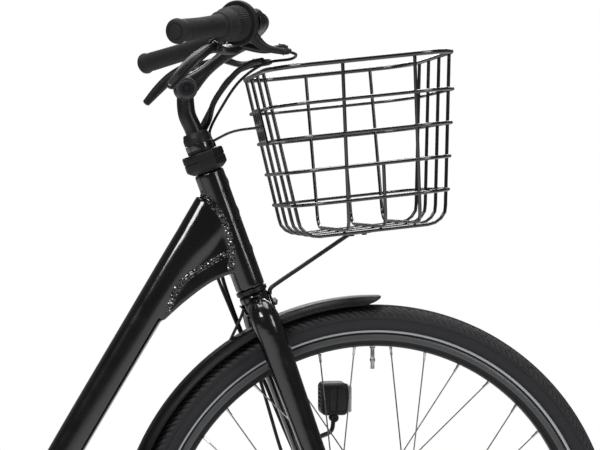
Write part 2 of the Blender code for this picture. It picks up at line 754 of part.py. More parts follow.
def down_tube_stations():
    """Centre, depth and width of the hydroformed down tube, from the bottom bracket to the head tube."""
    along = Vector((0.5103, 0, 0.86))
    square = Vector((0.86, 0, -0.5103))
    top_edge = rel(-0.3540, 0.7021)
    stations = [(rel(-0.640, 0.292), 0.0450, 0.050), (rel(-0.588, 0.312), 0.0450, 0.050),
                (rel(-0.533, 0.358), 0.0450, 0.049), (rel(-0.486, 0.426), 0.0452, 0.048)]
    for run, deep, wide in ((-0.2220, 0.0456, 0.047), (0.0, 0.0463, 0.047), (0.060, 0.0480, 0.047),
                            (0.1158, 0.0546, 0.046), (0.1520, 0.0650, 0.044), (0.1965, 0.0720, 0.040)):
        stations.append((top_edge + along * run + square * (deep / 2), deep, wide))
    return stations


def make_frame(mats):
    stations = down_tube_stations()
    frame = to_object("frame", tube_bm([s[0] for s in stations], [s[2] / 2 for s in stations], sides=12,
                                       depth=[s[1] / 2 for s in stations], power=2.6), mats["black_paint"])
    lower = smooth_path([rel(-0.3020, 0.6960), rel(-0.2700, 0.7240), rel(-0.2330, 0.7505),
                         rel(-0.1940, 0.7662)], 3)
    upper = [rel(-0.1900, 0.8000), rel(-0.2050, 0.8230), rel(-0.2550, 0.7850), rel(-0.3060, 0.7060)]
    outline = [(p.x, p.z) for p in lower + upper]
    bodies = [
        turned_on_steer([(0, HEAD_LOW_Z), (HEAD_R, HEAD_LOW_Z), (HEAD_R, HEAD_TOP_Z), (0, HEAD_TOP_Z)]),
        plate_bm(outline, -GUSSET_HALF_W, GUSSET_HALF_W),
        tube_bm([seat_point(BB_Z), seat_point(SEAT_TUBE_TOP_Z)], SEAT_TUBE_R, sides=16),
        turned_bm(disc_profile(BB_R, -BB_HALF_W, BB_HALF_W), (XB, 0, BB_Z), steps=16),
        tube_bm([rel(-0.500, 0.402), seat_point(0.452)], 0.0140, sides=8),
        box_bm((STAND_X - 0.018, -0.0385, STAND_Z + 0.037), (STAND_X + 0.018, 0.0385, STAND_Z + 0.046)),
        box_bm((STAND_X - 0.016, -STAND_BLOCK_Y, STAND_Z - 0.010),
               (STAND_X + 0.016, STAND_BLOCK_Y, STAND_Z + 0.041)),
    ]
    for side in (1, -1):
        bodies.append(chain_stay(side))
        stay = [0.0070, 0.0075, 0.0080, 0.0085, 0.0090]
        bodies.append(tube_bm(stay_path(side), [(DROPOUT_W - GAP) / 2] + stay, sides=8,
                              depth=[0.0080] + stay))
        inner = side * (REAR_OLN / 2 + GAP)
        outer = side * (REAR_OLN / 2 + DROPOUT_W)
        bodies.append(bored(
            plate_bm([(XR - 0.016, HUB_Z - 0.016), (XR + 0.006, HUB_Z - 0.021), (XR + 0.030, HUB_Z - 0.016),
                      (XR + 0.034, HUB_Z - 0.004), (XR + 0.017, HUB_Z + 0.016), (XR + 0.013, HUB_Z + 0.033),
                      (XR - 0.020, HUB_Z + 0.036), (XR - 0.024, HUB_Z + 0.014)],
                     min(inner, outer), max(inner, outer)),
            turned_bm(disc_profile(AXLE_R + GAP, -0.10, 0.10), (XR, 0, HUB_Z), steps=12)))
    for z in (0.8870, 0.8455, 0.7925):
        foot = steer_point(z, HEAD_R - 0.002)
        tip = steer_point(z, HEAD_R + 0.0012)
        bodies.append(tube_bm([foot, tip], 0.0042, sides=8))
    weld(frame, bodies)
    cut(frame, [
        tube_bm([seat_point(SEAT_BORE_Z), seat_point(SEAT_TUBE_TOP_Z + 0.02)], POST_R + GAP, sides=16),
        turned_bm(disc_profile(BB_BORE_R, -0.05, 0.05), (XB, 0, BB_Z), steps=16),
        turned_bm(disc_profile(STAND_PIN_R + GAP, -0.05, 0.05), (STAND_X, 0, STAND_Z), steps=12),
        turned_on_steer([(0, HEAD_LOW_Z - 0.02), (HEAD_BORE_R, HEAD_LOW_Z - 0.02),
                         (HEAD_BORE_R, HEAD_TOP_Z + 0.02), (0, HEAD_TOP_Z + 0.02)]),
    ])
    return frame


def chain_stay(side):
    """Chain stay, flat beside the tyre and round at the dropout."""
    points = [Vector((XB + 0.004, side * 0.0282, BB_Z - 0.001)), Vector((XB - 0.026, side * 0.0286, BB_Z)),
              Vector((XB - 0.062, side * 0.0360, BB_Z + 0.004)),
              Vector((XB - 0.110, side * 0.0395, BB_Z + 0.012)),
              Vector((XR + 0.22, side * 0.0480, BB_Z + 0.034)),
              Vector((XR + 0.10, side * 0.0620, HUB_Z - 0.016)),
              Vector((XR + 0.020, side * (REAR_OLN + DROPOUT_W + GAP) / 2, HUB_Z - 0.005))]
    flat = (DROPOUT_W - GAP) / 2
    return tube_bm(points, [STAY_R] * 6 + [flat], sides=8,
                   depth=[0.012, 0.012, 0.012, 0.0115, 0.0105, 0.009, 0.008])


def make_fork(mats):
    top = STEERER_TOP_Z
    fork = to_object("fork", turned_on_steer(
        [(0, CROWN_TOP_Z - 0.026), (0.0200, CROWN_TOP_Z - 0.026), (0.0210, CROWN_TOP_Z - 0.004),
         (0.0200, CROWN_TOP_Z), (STEERER_R, CROWN_TOP_Z), (STEERER_R, top), (QUILL_R + GAP, top),
         (QUILL_R + GAP, QUILL_LOW_Z - 0.002), (0, QUILL_LOW_Z - 0.002)]), mats["black_paint"])
    bodies = []
    for side in (1, -1):
        crown_z = CROWN_TOP_Z - 0.018
        points = [steer_point(crown_z, 0, side * 0.006), steer_point(crown_z, 0, side * 0.030),
                  steer_point(crown_z - 0.007, 0, side * 0.0455),
                  steer_point(crown_z - 0.026, 0, side * BLADE_Y),
                  steer_point(0.640, 0, side * BLADE_Y), steer_point(0.560, 0, side * BLADE_Y),
                  steer_point(0.470, 0, side * (BLADE_LOW_Y - 0.0025)),
                  steer_point(0.430, 0.002, side * (BLADE_LOW_Y + 0.0005)),
                  Vector((XF - 0.044, side * BLADE_LOW_Y, 0.395)),
                  Vector((XF - 0.010, side * BLADE_LOW_Y, HUB_Z + 0.010))]
        wide = [0.0135, 0.0150, 0.0178, BLADE_TOP_R, 0.0172, BLADE_MID_R, 0.0138, 0.0128, 0.0112,
                BLADE_END_R]
        oval = (0.0, 0.0, 0.0010, 0.0020, 0.0032, 0.0030, 0.0027, 0.0020, 0.0010, 0.0)
        deep = [w + extra for w, extra in zip(wide, oval)]
        bodies.append(tube_bm(points, wide, sides=10, depth=deep, up=Vector((0, 0, 1))))
        inner = side * (FRONT_OLN / 2 + GAP)
        outer = side * (FRONT_OLN / 2 + DROPOUT_W)
        bodies.append(plate_bm([(XF - 0.026, HUB_Z + 0.006), (XF - 0.008, HUB_Z - 0.015),
                                (XF + 0.008, HUB_Z - 0.015), (XF + 0.016, HUB_Z - 0.004),
                                (XF + 0.014, HUB_Z + 0.010), (XF - 0.004, HUB_Z + 0.024),
                                (XF - 0.022, HUB_Z + 0.030)], min(inner, outer), max(inner, outer)))
    inner = FRONT_OLN / 2 + GAP
    bodies.append(plate_bm([(XF - 0.040, HUB_Z + 0.030), (XF - 0.060, HUB_Z + 0.020),
                            (XF - 0.090, HUB_Z + 0.028), (XF - 0.090, HUB_Z + 0.046),
                            (XF - 0.066, HUB_Z + 0.062), (XF - 0.050, HUB_Z + 0.054)],
                           inner, inner + CALIPER_TAB_W))
    weld(fork, bodies)
    cut(fork, [turned_bm(disc_profile(AXLE_R + GAP, -0.10, 0.10), (XF, 0, HUB_Z), steps=16),
               tube_bm([steer_point(STRUT_BOLT_Z, 0.005), steer_point(STRUT_BOLT_Z, 0.03)],
                       STRUT_BOLT_R + GAP, sides=10)])
    fork_origin(fork)
    low = CROWN_TOP_Z + GAP
    cup = [(STEERER_R + GAP, low), (0.0205, low), (0.0225, low + 0.002), (0.0225, HEAD_LOW_Z - GAP),
           (STEERER_R + GAP, HEAD_LOW_Z - GAP)]
    to_object("lower_headset_bearing", turned_on_steer(cup), mats["dark_metal"])
    return fork


def fork_origin(obj):
    """Put an object's origin on the steering axis at the head tube's lower end."""
    origin = steer_point(HEAD_LOW_Z)
    obj.data.transform(Matrix.Translation(-origin))
    obj.location = origin


def octagon_collar(mats):
    """Eight-sided cover round the steerer that takes the cables in, and the round collar above it."""
    low = HEAD_TOP_Z + GAP
    edge = 0.005
    bore = (STEERER_R + GAP) / cos(pi / 8)
    profile = [(bore, low), (HEAD_R + 0.001, low), (LOW_COLLAR_R - 0.001, low + 0.004),
               (LOW_COLLAR_R, low + edge + 0.003), (LOW_COLLAR_R, LOW_COLLAR_TOP_Z - 0.002),
               (LOW_COLLAR_R - 0.002, LOW_COLLAR_TOP_Z), (bore, LOW_COLLAR_TOP_Z)]
    to_object("cable_collar", turned_on_steer(profile, 8, pi / 8), mats["plastic"])
    low = LOW_COLLAR_TOP_Z + GAP
    top = UP_COLLAR_TOP_Z
    groove = BAND_HALF_H + GAP
    profile = [(STEM_R + GAP, low), (UP_COLLAR_R, low), (UP_COLLAR_R, BAND_Z - groove),
               (BAND_IN_R, BAND_Z - groove), (BAND_IN_R, BAND_Z + groove), (UP_COLLAR_R, BAND_Z + groove),
               (UP_COLLAR_R, top - 0.007), (UP_COLLAR_R - 0.0035, top), (STEM_R + GAP, top)]
    to_object("stem_collar", turned_on_steer(profile), mats["plastic"])


def make_stem(mats):
    pivot = rel(PIVOT_X, PIVOT_Z)
    low = steer_point(LOW_COLLAR_TOP_Z + GAP)
    points = [low, steer_point(UP_COLLAR_TOP_Z + 0.004), rel(-0.2662, 0.986), rel(-0.2688, 1.004),
              pivot - Vector((0, 0, 0.006))]
    quill = to_object("stem_quill", tube_bm(points, [STEM_R, STEM_R, STEM_R, 0.0125, 0.0118], sides=16),
                      mats["satin_black"])
    weld(quill, [turned_bm(disc_profile(PIVOT_R, -BARREL_HALF_W, BARREL_HALF_W), pivot, steps=24),
                 tube_bm([steer_point(QUILL_LOW_Z), steer_point(LOW_COLLAR_TOP_Z + 0.004)], QUILL_R,
                         sides=16)])
    cut(quill, [turned_bm(disc_profile(0.0048, -0.03, 0.03), pivot, steps=12)])
    clamp = rel(CLAMP_X, CLAMP_Z)
    run = (clamp - pivot).normalized()
    length = (clamp - pivot).length
    square = Vector((-run.z, 0, run.x))
    half = BARREL_HALF_W + GAP + CHEEK_W
    stations = [(-0.0150, 0.0050, 0.0), (-0.0100, 0.0130, 0.0), (0.0, 0.0168, 0.0), (0.014, 0.0150, 0.0),
                (0.036, 0.0112, -0.0015), (0.060, 0.0105, -0.0020), (0.082, 0.0125, -0.0010),
                (length, 0.0170, 0.0), (length + 0.012, 0.0130, 0.0), (length + 0.0175, 0.0060, 0.0)]
    points = [pivot + run * s + square * lift for s, _, lift in stations]
    widths = [half, half, half, half, 0.0150, 0.0140, 0.0160, 0.0200, 0.0200, 0.0190]
    arm = to_object("stem_arm", tube_bm(points, widths, sides=12, depth=[h for _, h, _ in stations],
                                        power=3.0), mats["satin_black"], pivot)
    reach = PIVOT_R + 0.0012
    slot = [(reach, -0.04), (reach, 0.0)]
    slot += [(reach * cos(radians(a)), reach * sin(radians(a))) for a in (22, 45, 68)]
    slot += [(0.0, reach), (0.0, 0.04), (-0.04, 0.04), (-0.04, -0.04)]
    outline = [(pivot.x + x, pivot.z + z) for x, z in slot]
    cut(arm, [plate_bm(outline, -BARREL_HALF_W - GAP, BARREL_HALF_W + GAP)])
    cut(arm, [turned_bm(disc_profile(0.0048, -0.03, 0.03), pivot, steps=10),
              turned_bm(disc_profile(BAR_BORE_R, -0.03, 0.03), clamp, steps=14)])
    bolt = to_object("stem_pivot_bolt", turned_bm(disc_profile(0.0045, -0.0225, 0.0225), pivot, steps=12),
                     mats["dark_metal"], pivot)
    caps = [turned_bm(disc_profile(0.0105, side * (half + GAP), side * (half + 0.0035)), pivot, steps=16)
            for side in (1, -1)]
    weld(bolt, caps)


def bar_middle():
    """Centre line of the handlebar from the middle to where the straight grip end begins, drive side."""
    return [rel(CLAMP_X, CLAMP_Z, 0.0), rel(CLAMP_X, CLAMP_Z, -0.030), rel(-0.1780, 1.1030, -0.068),
            rel(-0.1755, 1.1080, -0.098), rel(-0.1790, 1.1104, -0.119)]


def bar_at(y):
    """Point of the drive-side grip end at a distance from the middle."""
    near = rel(-0.1853, 1.1091, -BAR_STRAIGHT_Y)
    far = rel(-0.3067, 1.0800, -BAR_END_Y)
    return near + (far - near) * ((y - BAR_STRAIGHT_Y) / (BAR_END_Y - BAR_STRAIGHT_Y))


def flip(point, side):
    return Vector((point[0], -side * point[1], point[2]))


def on_bar(y_from, y_to, profile, steps, side=-1):
    """A body turned about the grip end, from y_from outward; side 1 makes it on the left."""
    a = flip(bar_at(y_from), side)
    b = flip(bar_at(y_to), side)
    return turned_bm(profile, a, b - a, steps)


def bar_length(y_from, y_to):
    return (bar_at(y_to) - bar_at(y_from)).length


def below_bar(y, out, side=-1):
    """A point beside the grip end, square to it and towards the fingers."""
    run = (bar_at(BAR_END_Y) - bar_at(BAR_STRAIGHT_Y)).normalized()
    fall = Vector((-0.35, 0.42, -0.84))
    fall = (fall - run * fall.dot(run)).normalized()
    return flip(bar_at(y) + fall * out, side)


def make_handlebar(mats):
    pivot = rel(PIVOT_X, PIVOT_Z)
    right = smooth_path(bar_middle(), 2) + [bar_at(BAR_STRAIGHT_Y), bar_at(BAR_END_Y - 0.003)]
    path = list(reversed(mirror_y(right)))[:-1] + right
    to_object("handlebar", tube_bm(path, BAR_R, sides=10, up=Vector((0, 0, 1))), mats["satin_black"], pivot)
    make_grip("grip_right", GRIP_RIGHT_Y, -1, mats, pivot)
    make_grip("grip_left", GRIP_LEFT_Y, 1, mats, pivot)
    make_shifter(mats, pivot)
    make_lever(-1, "right", mats, pivot)
    make_lever(1, "left", mats, pivot)


def make_grip(name, y_from, side, mats, pivot):
    """Rubber sleeve with a closed, slightly flared end."""
    length = bar_length(y_from, BAR_END_Y)
    floor = bar_length(y_from, BAR_END_Y - 0.003) + GAP
    grip = on_bar(y_from, BAR_END_Y, [
        (0.0, floor), (BAR_BORE_R, floor), (BAR_BORE_R, 0.0), (GRIP_R + 0.0016, 0.0),
        (GRIP_R + 0.0004, 0.004), (GRIP_R - 0.0006, length * 0.45), (GRIP_R, length - 0.001),
        (GRIP_R - 0.004, length + 0.0035), (0.0, length + 0.0035)], 12, side)
    return to_object(name, grip, mats["rubber"], pivot)


def make_shifter(mats, pivot):
    """Twist shifter: a fixed housing with a wide flange and cable horn, and the barrel turned by hand."""
    length = bar_length(FLANGE_Y, BARREL_Y)
    housing = to_object("shifter_housing", on_bar(FLANGE_Y, BARREL_Y, [
        (BAR_BORE_R, 0.0), (SHIFTER_FLANGE_R - 0.006, 0.0), (SHIFTER_FLANGE_R, length * 0.5),
        (SHIFTER_FLANGE_R, length - GAP), (BAR_BORE_R, length - GAP)], 16), mats["plastic"], pivot)
    weld(housing, [tube_bm([rel(-0.1970, 1.0880, -0.1640), rel(-0.1870, 1.0780, -0.1635),
                            rel(-0.1740, 1.0700, -0.1620), rel(-0.1441, 1.0650, -0.1600)],
                           [0.0075, 0.0062, 0.0045, 0.0030], sides=8)])
    length = bar_length(BARREL_Y, GRIP_RIGHT_Y)
    to_object("twist_shifter", on_bar(BARREL_Y, GRIP_RIGHT_Y, [
        (BAR_BORE_R, 0.0), (SHIFTER_R, 0.0), (SHIFTER_R - 0.0015, length * 0.58),
        (SHIFTER_R - 0.0040, length * 0.66),
        (GRIP_R + 0.0030, length - GAP), (BAR_BORE_R, length - GAP)], 16), mats["rubber"], bar_at(BARREL_Y))


def lever_points(side):
    """Blade of the brake lever from its pivot to the tip."""
    return [below_bar(y, out, side) for y, out in ((0.1960, 0.0318), (0.2110, 0.0370), (0.2270, 0.0480),
                                                   (0.2420, 0.0650), (0.2560, 0.0860))]


def lever_axis(side):
    """Hinge line of a brake lever: square to the grip and to the way that the lever closes."""
    grip = below_bar(0.29, 0.0, side) - below_bar(0.18, 0.0, side)
    fall = below_bar(0.18, 1.0, side) - below_bar(0.18, 0.0, side)
    return fall.cross(grip).normalized()


def make_lever(side, tag, mats, pivot):
    """Bracket clamped inboard of the grip, with its cable adjuster, and the blade that hinges in it."""
    length = bar_length(CLAMP_IN_Y, CLAMP_OUT_Y)
    clamp = to_object("lever_bracket_" + tag, on_bar(CLAMP_IN_Y, CLAMP_OUT_Y, ring_profile(
        BAR_BORE_R, BAR_R + 0.0055, 0.0, length), 14, side), mats["satin_black"], pivot)
    axis = lever_axis(side)
    root = lever_points(side)[0]
    body = [below_bar(y, out, side) for y, out in ((0.1375, 0.0155), (0.1385, 0.0300), (0.1450, 0.0405),
                                                   (0.1620, 0.0415), (0.1780, 0.0390), (0.1875, 0.0340))]
    horn = [below_bar(0.1400, 0.0360, side), flip(rel(-0.1740, 1.0690, -0.1370), side),
            flip(rel(-0.1420, 1.0745, -0.1400), side)]
    ears = [turned_bm(disc_profile(0.0068, hand * 0.0058, hand * 0.0086), root, axis, 10)
            for hand in (1, -1)]
    prongs = []
    for hand in (1, -1):
        shift = axis * (hand * 0.0072)
        prongs.append(tube_bm([below_bar(0.1830, 0.0365, side) + shift, root + shift], 0.0014 * SQUARE,
                              sides=4, turn=pi / 4, depth=[0.0060 * SQUARE] * 2, up=axis))
    weld(clamp, [tube_bm(body, [0.0050, 0.0065, 0.0078, 0.0078, 0.0078, 0.0078], sides=8,
                         depth=[0.0050, 0.0060, 0.0060, 0.0060, 0.0056, 0.0044], up=axis),
                 tube_bm(horn, [0.0058, 0.0045, 0.0034], sides=8)] + ears + prongs)
    points = lever_points(side)
    blade = tube_bm(points, [0.0045, 0.0075, 0.0090, 0.0085, 0.0060], sides=8,
                    depth=[0.0055, 0.0040, 0.0036, 0.0034, 0.0030], up=axis)
    lever = to_object("brake_lever_" + tag, blade, mats["satin_black"], root)
    weld(lever, [turned_bm(disc_profile(0.0032, -0.0055, 0.0055), root, axis, 10)])
    return clamp, lever


def guard_section(angle, hub_x, half_w):
    """Cross-section of a mudguard at an angle round the wheel, outer face first."""
    ring = []
    outer = ((-1.0, 1.0), (-0.62, GUARD_DROP), (0.62, GUARD_DROP), (1.0, 1.0))
    sets = ((0.0, outer), (GUARD_WALL, outer[::-1]))
    for wall, shape in sets:
        for f, fall in shape:
            r = GUARD_R - wall - fall * GUARD_LIP
            ring.append(Vector((hub_x + r * cos(angle), f * (half_w - wall * 0.5), HUB_Z + r * sin(angle))))
    return ring


def make_mudguard(name, hub_x, first, last, steps, mats):
    rings = []
    for k in range(steps + 1):
        f = k / steps
        angle = radians(first + (last - first) * f)
        taper = 1.0
        if f == 0.0 or f == 1.0:
            taper = 0.62
        rings.append(guard_section(angle, hub_x, GUARD_HALF_W * taper))
    return to_object(name, loft(rings), mats["black_paint"])


def guard_stay(hub_x, angle, foot_y):
    """Wire stay in one piece: up one side, riveted across the mudguard and down the other."""
    a = radians(angle)
    wide = GUARD_HALF_W + GUARD_STAY_R
    crown = GUARD_R - GUARD_DROP * GUARD_LIP
    foot = Vector((hub_x, foot_y, HUB_Z - 0.019))
    points = [foot, foot + Vector((cos(a) * 0.03, -0.001, sin(a) * 0.03))]
    for y, r in ((wide + 0.003, GUARD_EDGE_R - 0.014), (wide - 0.0010, GUARD_EDGE_R + 0.002),
                 (wide * 0.72, crown), (wide * 0.45, crown)):
        points.append(Vector((hub_x + r * cos(a), y, HUB_Z + r * sin(a))))
    return tube_bm(points + list(reversed(mirror_y(points))), GUARD_STAY_R, sides=6, up=Vector((0, 0, 1)))


def make_mudguards(mats):
    front = make_mudguard("front_mudguard", XF, 88.4, 206, 16, mats)
    fork_origin(front)
    hanger = steer_point(CROWN_TOP_Z - 0.020, -0.0226)
    tab_top = hanger + STEER_DIR * 0.010
    tab_low = rel(-0.2055, 0.6668)
    weld(front, [tube_bm([tab_top, hanger, tab_low], 0.0085, sides=4, turn=pi / 4, depth=[0.0018] * 3),
                 guard_stay(XF, 192, FRONT_OLN / 2 + DROPOUT_W + GUARD_STAY_R + 2 * GAP)])
    rear = make_mudguard("rear_mudguard", XR, 3, 208, 24, mats)
    weld(rear, [guard_stay(XR, 196, REAR_OLN / 2 + DROPOUT_W + GUARD_STAY_R + 2 * GAP)])
    lamp_angle = radians(142)
    out = Vector((cos(lamp_angle), 0, sin(lamp_angle)))
    seat = Vector((XR, 0, HUB_Z)) + out * (GUARD_R - GUARD_DROP * GUARD_LIP + GAP)
    lamp = to_object("tail_light", soft_box_bm((-0.020, -0.026, 0.0), (0.020, 0.026, 0.030), 0.005, 1),
                     mats["red_lens"])
    turn = Vector((0, 0, 1)).rotation_difference(out).to_matrix().to_4x4()
    lamp.data.transform(Matrix.Translation(seat) @ turn)
    return rear


def basket_point(x, y, z):
    """A point given in the tilted basket's own axes, from the middle of its rim."""
    x_axis = Vector((cos(BASKET_TILT), 0, sin(BASKET_TILT)))
    z_axis = Vector((-sin(BASKET_TILT), 0, cos(BASKET_TILT)))
    return rel(BASKET_X, BASKET_TOP_Z) + x_axis * x + Vector((0, y, 0)) + z_axis * z


def make_basket(mats):
    """Wire basket: a thick rim, four rings, four lengthwise and three crosswise hoops, welded together."""
    z_axis = Vector((-sin(BASKET_TILT), 0, cos(BASKET_TILT)))
    narrow = tan(BASKET_TAPER)
    depth = BASKET_DEPTH
    place = basket_point

    def ring_bm(level, out, radius, sides):
        inset = level * narrow
        half_x = BASKET_LEN / 2 - inset + out
        half_y = BASKET_WIDTH / 2 - inset + out
        corner = BASKET_CORNER - inset * 0.4 + out
        path = []
        for cx, cy, first in ((1, 1, 0), (-1, 1, 90), (-1, -1, 180), (1, -1, 270)):
            for k in range(3):
                a = radians(first + 45 * k)
                path.append(place(cx * (half_x - corner) + corner * cos(a),
                                  cy * (half_y - corner) + corner * sin(a), -level))
        rings = []
        count = len(path)
        for i, p in enumerate(path):
            tangent = (path[(i + 1) % count] - path[i - 1]).normalized()
            side = z_axis
            normal = tangent.cross(side)
            rings.append([p + side * (radius * cos(2 * pi * k / sides))
                          + normal * (radius * sin(2 * pi * k / sides)) for k in range(sides)])
        return loft(rings, closed=True)

    overlap = 2 * WIRE_R - 0.0007
    bms = [ring_bm(BASKET_FIRST + BASKET_STEP * k, overlap, WIRE_R, WIRE_SIDES) for k in range(4)]
    bend = 0.024

    def hoop(points):
        return tube_bm(points, WIRE_R, sides=WIRE_SIDES, up=Vector((0, 1, 0)))

    def wall_profile(half_top, start_level):
        """Half of a hoop: down the wall, round the bend and onto the floor, as (out, down)."""
        points = [(half_top - start_level * narrow, start_level)]
        low = depth - bend
        points.append((half_top - low * narrow, low))
        foot = half_top - depth * narrow
        for k in (1, 2):
            a = radians(45 * k)
            points.append((foot - bend * (1 - cos(a)) + 0.0020 * (2 - k), low + bend * sin(a)))
        return points

    for y in (-0.095, -0.033, 0.033, 0.095):
        half = wall_profile(BASKET_LEN / 2, -0.0005)
        path = [place(-o, y, -d) for o, d in half] + [place(o, y, -d) for o, d in reversed(half)]
        bms.append(hoop(path))
    drop = WIRE_R * 2 - 0.0007
    for x, level in ((-0.031, -0.0005), (0.020, BASKET_FIRST + 2 * BASKET_STEP), (0.068, -0.0005)):
        half = [(o, d - drop if d > depth - 0.001 else d) for o, d in wall_profile(BASKET_WIDTH / 2, level)]
        lean = 0.010
        path = [place(x + lean * (1 - d / depth) - lean, -o, -d) for o, d in half]
        path += [place(x + lean * (1 - d / depth) - lean, o, -d) for o, d in reversed(half)]
        bms.append(tube_bm(path, WIRE_R, sides=WIRE_SIDES, up=Vector((1, 0, 0))))
    basket = to_object("wire_basket", ring_bm(0.0, 0.0, RIM_WIRE_R, 6), mats["black_paint"])
    weld(basket, bms)
    return basket


def make_basket_mounts(mats):
    """Strut from the fork crown to the basket's floor, and the brace from the stem to its back."""
    z = STRUT_BOLT_Z
    half_tab = STRUT_TAB_W / 2
    tab_mid = STRUT_TAB_IN + half_tab
    tab = tube_bm([steer_point(z - 0.008, tab_mid), steer_point(z + 0.0165, tab_mid)], 0.0070 * SQUARE,
                  sides=4, turn=pi / 4, depth=[half_tab * SQUARE] * 2)
    strut = to_object("basket_strut", tab, mats["satin_black"])
    plate_z = -BASKET_DEPTH - WIRE_R - GAP
    foot_mid = basket_point(0.0, 0, plate_z - 0.00125)
    foot = [basket_point(x, 0, plate_z - d) for x, d in ((-0.009, 0.0), (0.009, 0.0), (0.009, 0.0025),
                                                         (-0.009, 0.0025))]
    outline = [(p.x, p.z) for p in foot]
    rod = [steer_point(z + 0.0145, tab_mid), rel(-0.1370, 0.7505), foot_mid]
    weld(strut, [tube_bm(rod, 0.0030, sides=8), plate_bm(outline, -0.040, 0.040)])
    cut(strut, [tube_bm([steer_point(z, 0.015), steer_point(z, 0.035)], STRUT_BOLT_R + GAP, sides=10)])
    face = STRUT_TAB_IN + STRUT_TAB_W + GAP
    head = tube_bm([steer_point(z, face), steer_point(z, face + 0.0045)], 0.0065, sides=6)
    bolt = to_object("strut_bolt", head, mats["steel"])
    weld(bolt, [tube_bm([steer_point(z, 0.0065), steer_point(z, face + 0.002)], STRUT_BOLT_R, sides=10)])
    level = BASKET_FIRST + BASKET_STEP / 2
    narrow = tan(BASKET_TAPER)
    out = 4 * WIRE_R - 0.0007 - WIRE_R + GAP

    def wall_x(down):
        return -(BASKET_LEN / 2 - down * narrow) - out

    corners = [basket_point(wall_x(level + d) - t, 0, -level - d)
               for d, t in ((-0.026, 0.0), (0.026, 0.0), (0.026, 0.003), (-0.026, 0.003))]
    plate = plate_bm([(p.x, p.z) for p in corners], -0.038, 0.038)
    brace = to_object("basket_brace", plate, mats["satin_black"])
    band = turned_on_steer(ring_profile(BAND_IN_R + GAP, UP_COLLAR_R, BAND_Z - BAND_HALF_H,
                                        BAND_Z + BAND_HALF_H))
    back = basket_point(wall_x(level) - 0.0015, 0, -level)
    rod = smooth_path([steer_point(BAND_Z, UP_COLLAR_R - BAND_W / 2), rel(-0.2010, 0.9638), back], 3)
    weld(brace, [band, tube_bm(rod, 0.0020, sides=6)])


def make_headlight(mats):
    """Lamp on the left blade: body, lens and a bracket with its foot against the blade."""
    low = rel(-0.0640, 0.5490, 0.058)
    high = rel(-0.0240, 0.5970, 0.102)
    lamp = to_object("headlight", soft_box_bm(low, high, 0.009, 2), mats["plastic"])
    face_x = high.x + GAP
    to_object("headlight_lens", soft_box_bm((face_x, low.y + 0.004, low.z + 0.004),
                                            (face_x + 0.005, high.y - 0.004, high.z - 0.004), 0.002, 1),
              mats["lens"])
    blade = steer_point(0.5050, BLADE_MID_R + 0.0042, BLADE_Y)
    path = [blade, rel(-0.0560, 0.5030, 0.060), rel(-0.0460, 0.5060, 0.070), rel(-0.0440, 0.5200, 0.078),
            rel(-0.0440, 0.5520, 0.080)]
    weld(lamp, [tube_bm(path, [0.0075, 0.0065, 0.0060, 0.0060, 0.0060], sides=8,
                        depth=[0.0040, 0.0030, 0.0022, 0.0022, 0.0022])])


def make_caliper(mats):
    """Disc brake caliper: a slotted body inside the fork's tab, hollow over the disc."""
    slot = 0.0012
    centre = (XF - 0.078, HUB_Z + 0.038)
    outer = FRONT_OLN / 2 - GAP
    low = Vector((centre[0] - 0.014, ROTOR_Y - 0.0115, centre[1] - 0.022))
    high = Vector((centre[0] + 0.009, outer, centre[1] + 0.022))
    body = to_object("brake_caliper", soft_box_bm(low, high, 0.004, 1), mats["dark_metal"])
    gap = turned_bm(disc_profile(ROTOR_R + 0.002, ROTOR_Y - slot, ROTOR_Y + ROTOR_W + slot),
                    (XF, 0, HUB_Z), steps=40)
    cut(body, [gap])


def cable(name, points, radius, mats, sides=6):
    run = tube_bm(smooth_path(points, 2), radius, sides=sides, up=Vector((0.3, 1, 0.2)))
    return to_object(name, run, mats["rubber"])


def collar_port(ahead, y):
    """Where a cable enters the top of the lower collar."""
    return steer_point(LOW_COLLAR_TOP_Z, ahead, y) + STEER_DIR * (GAP + 0.0003)


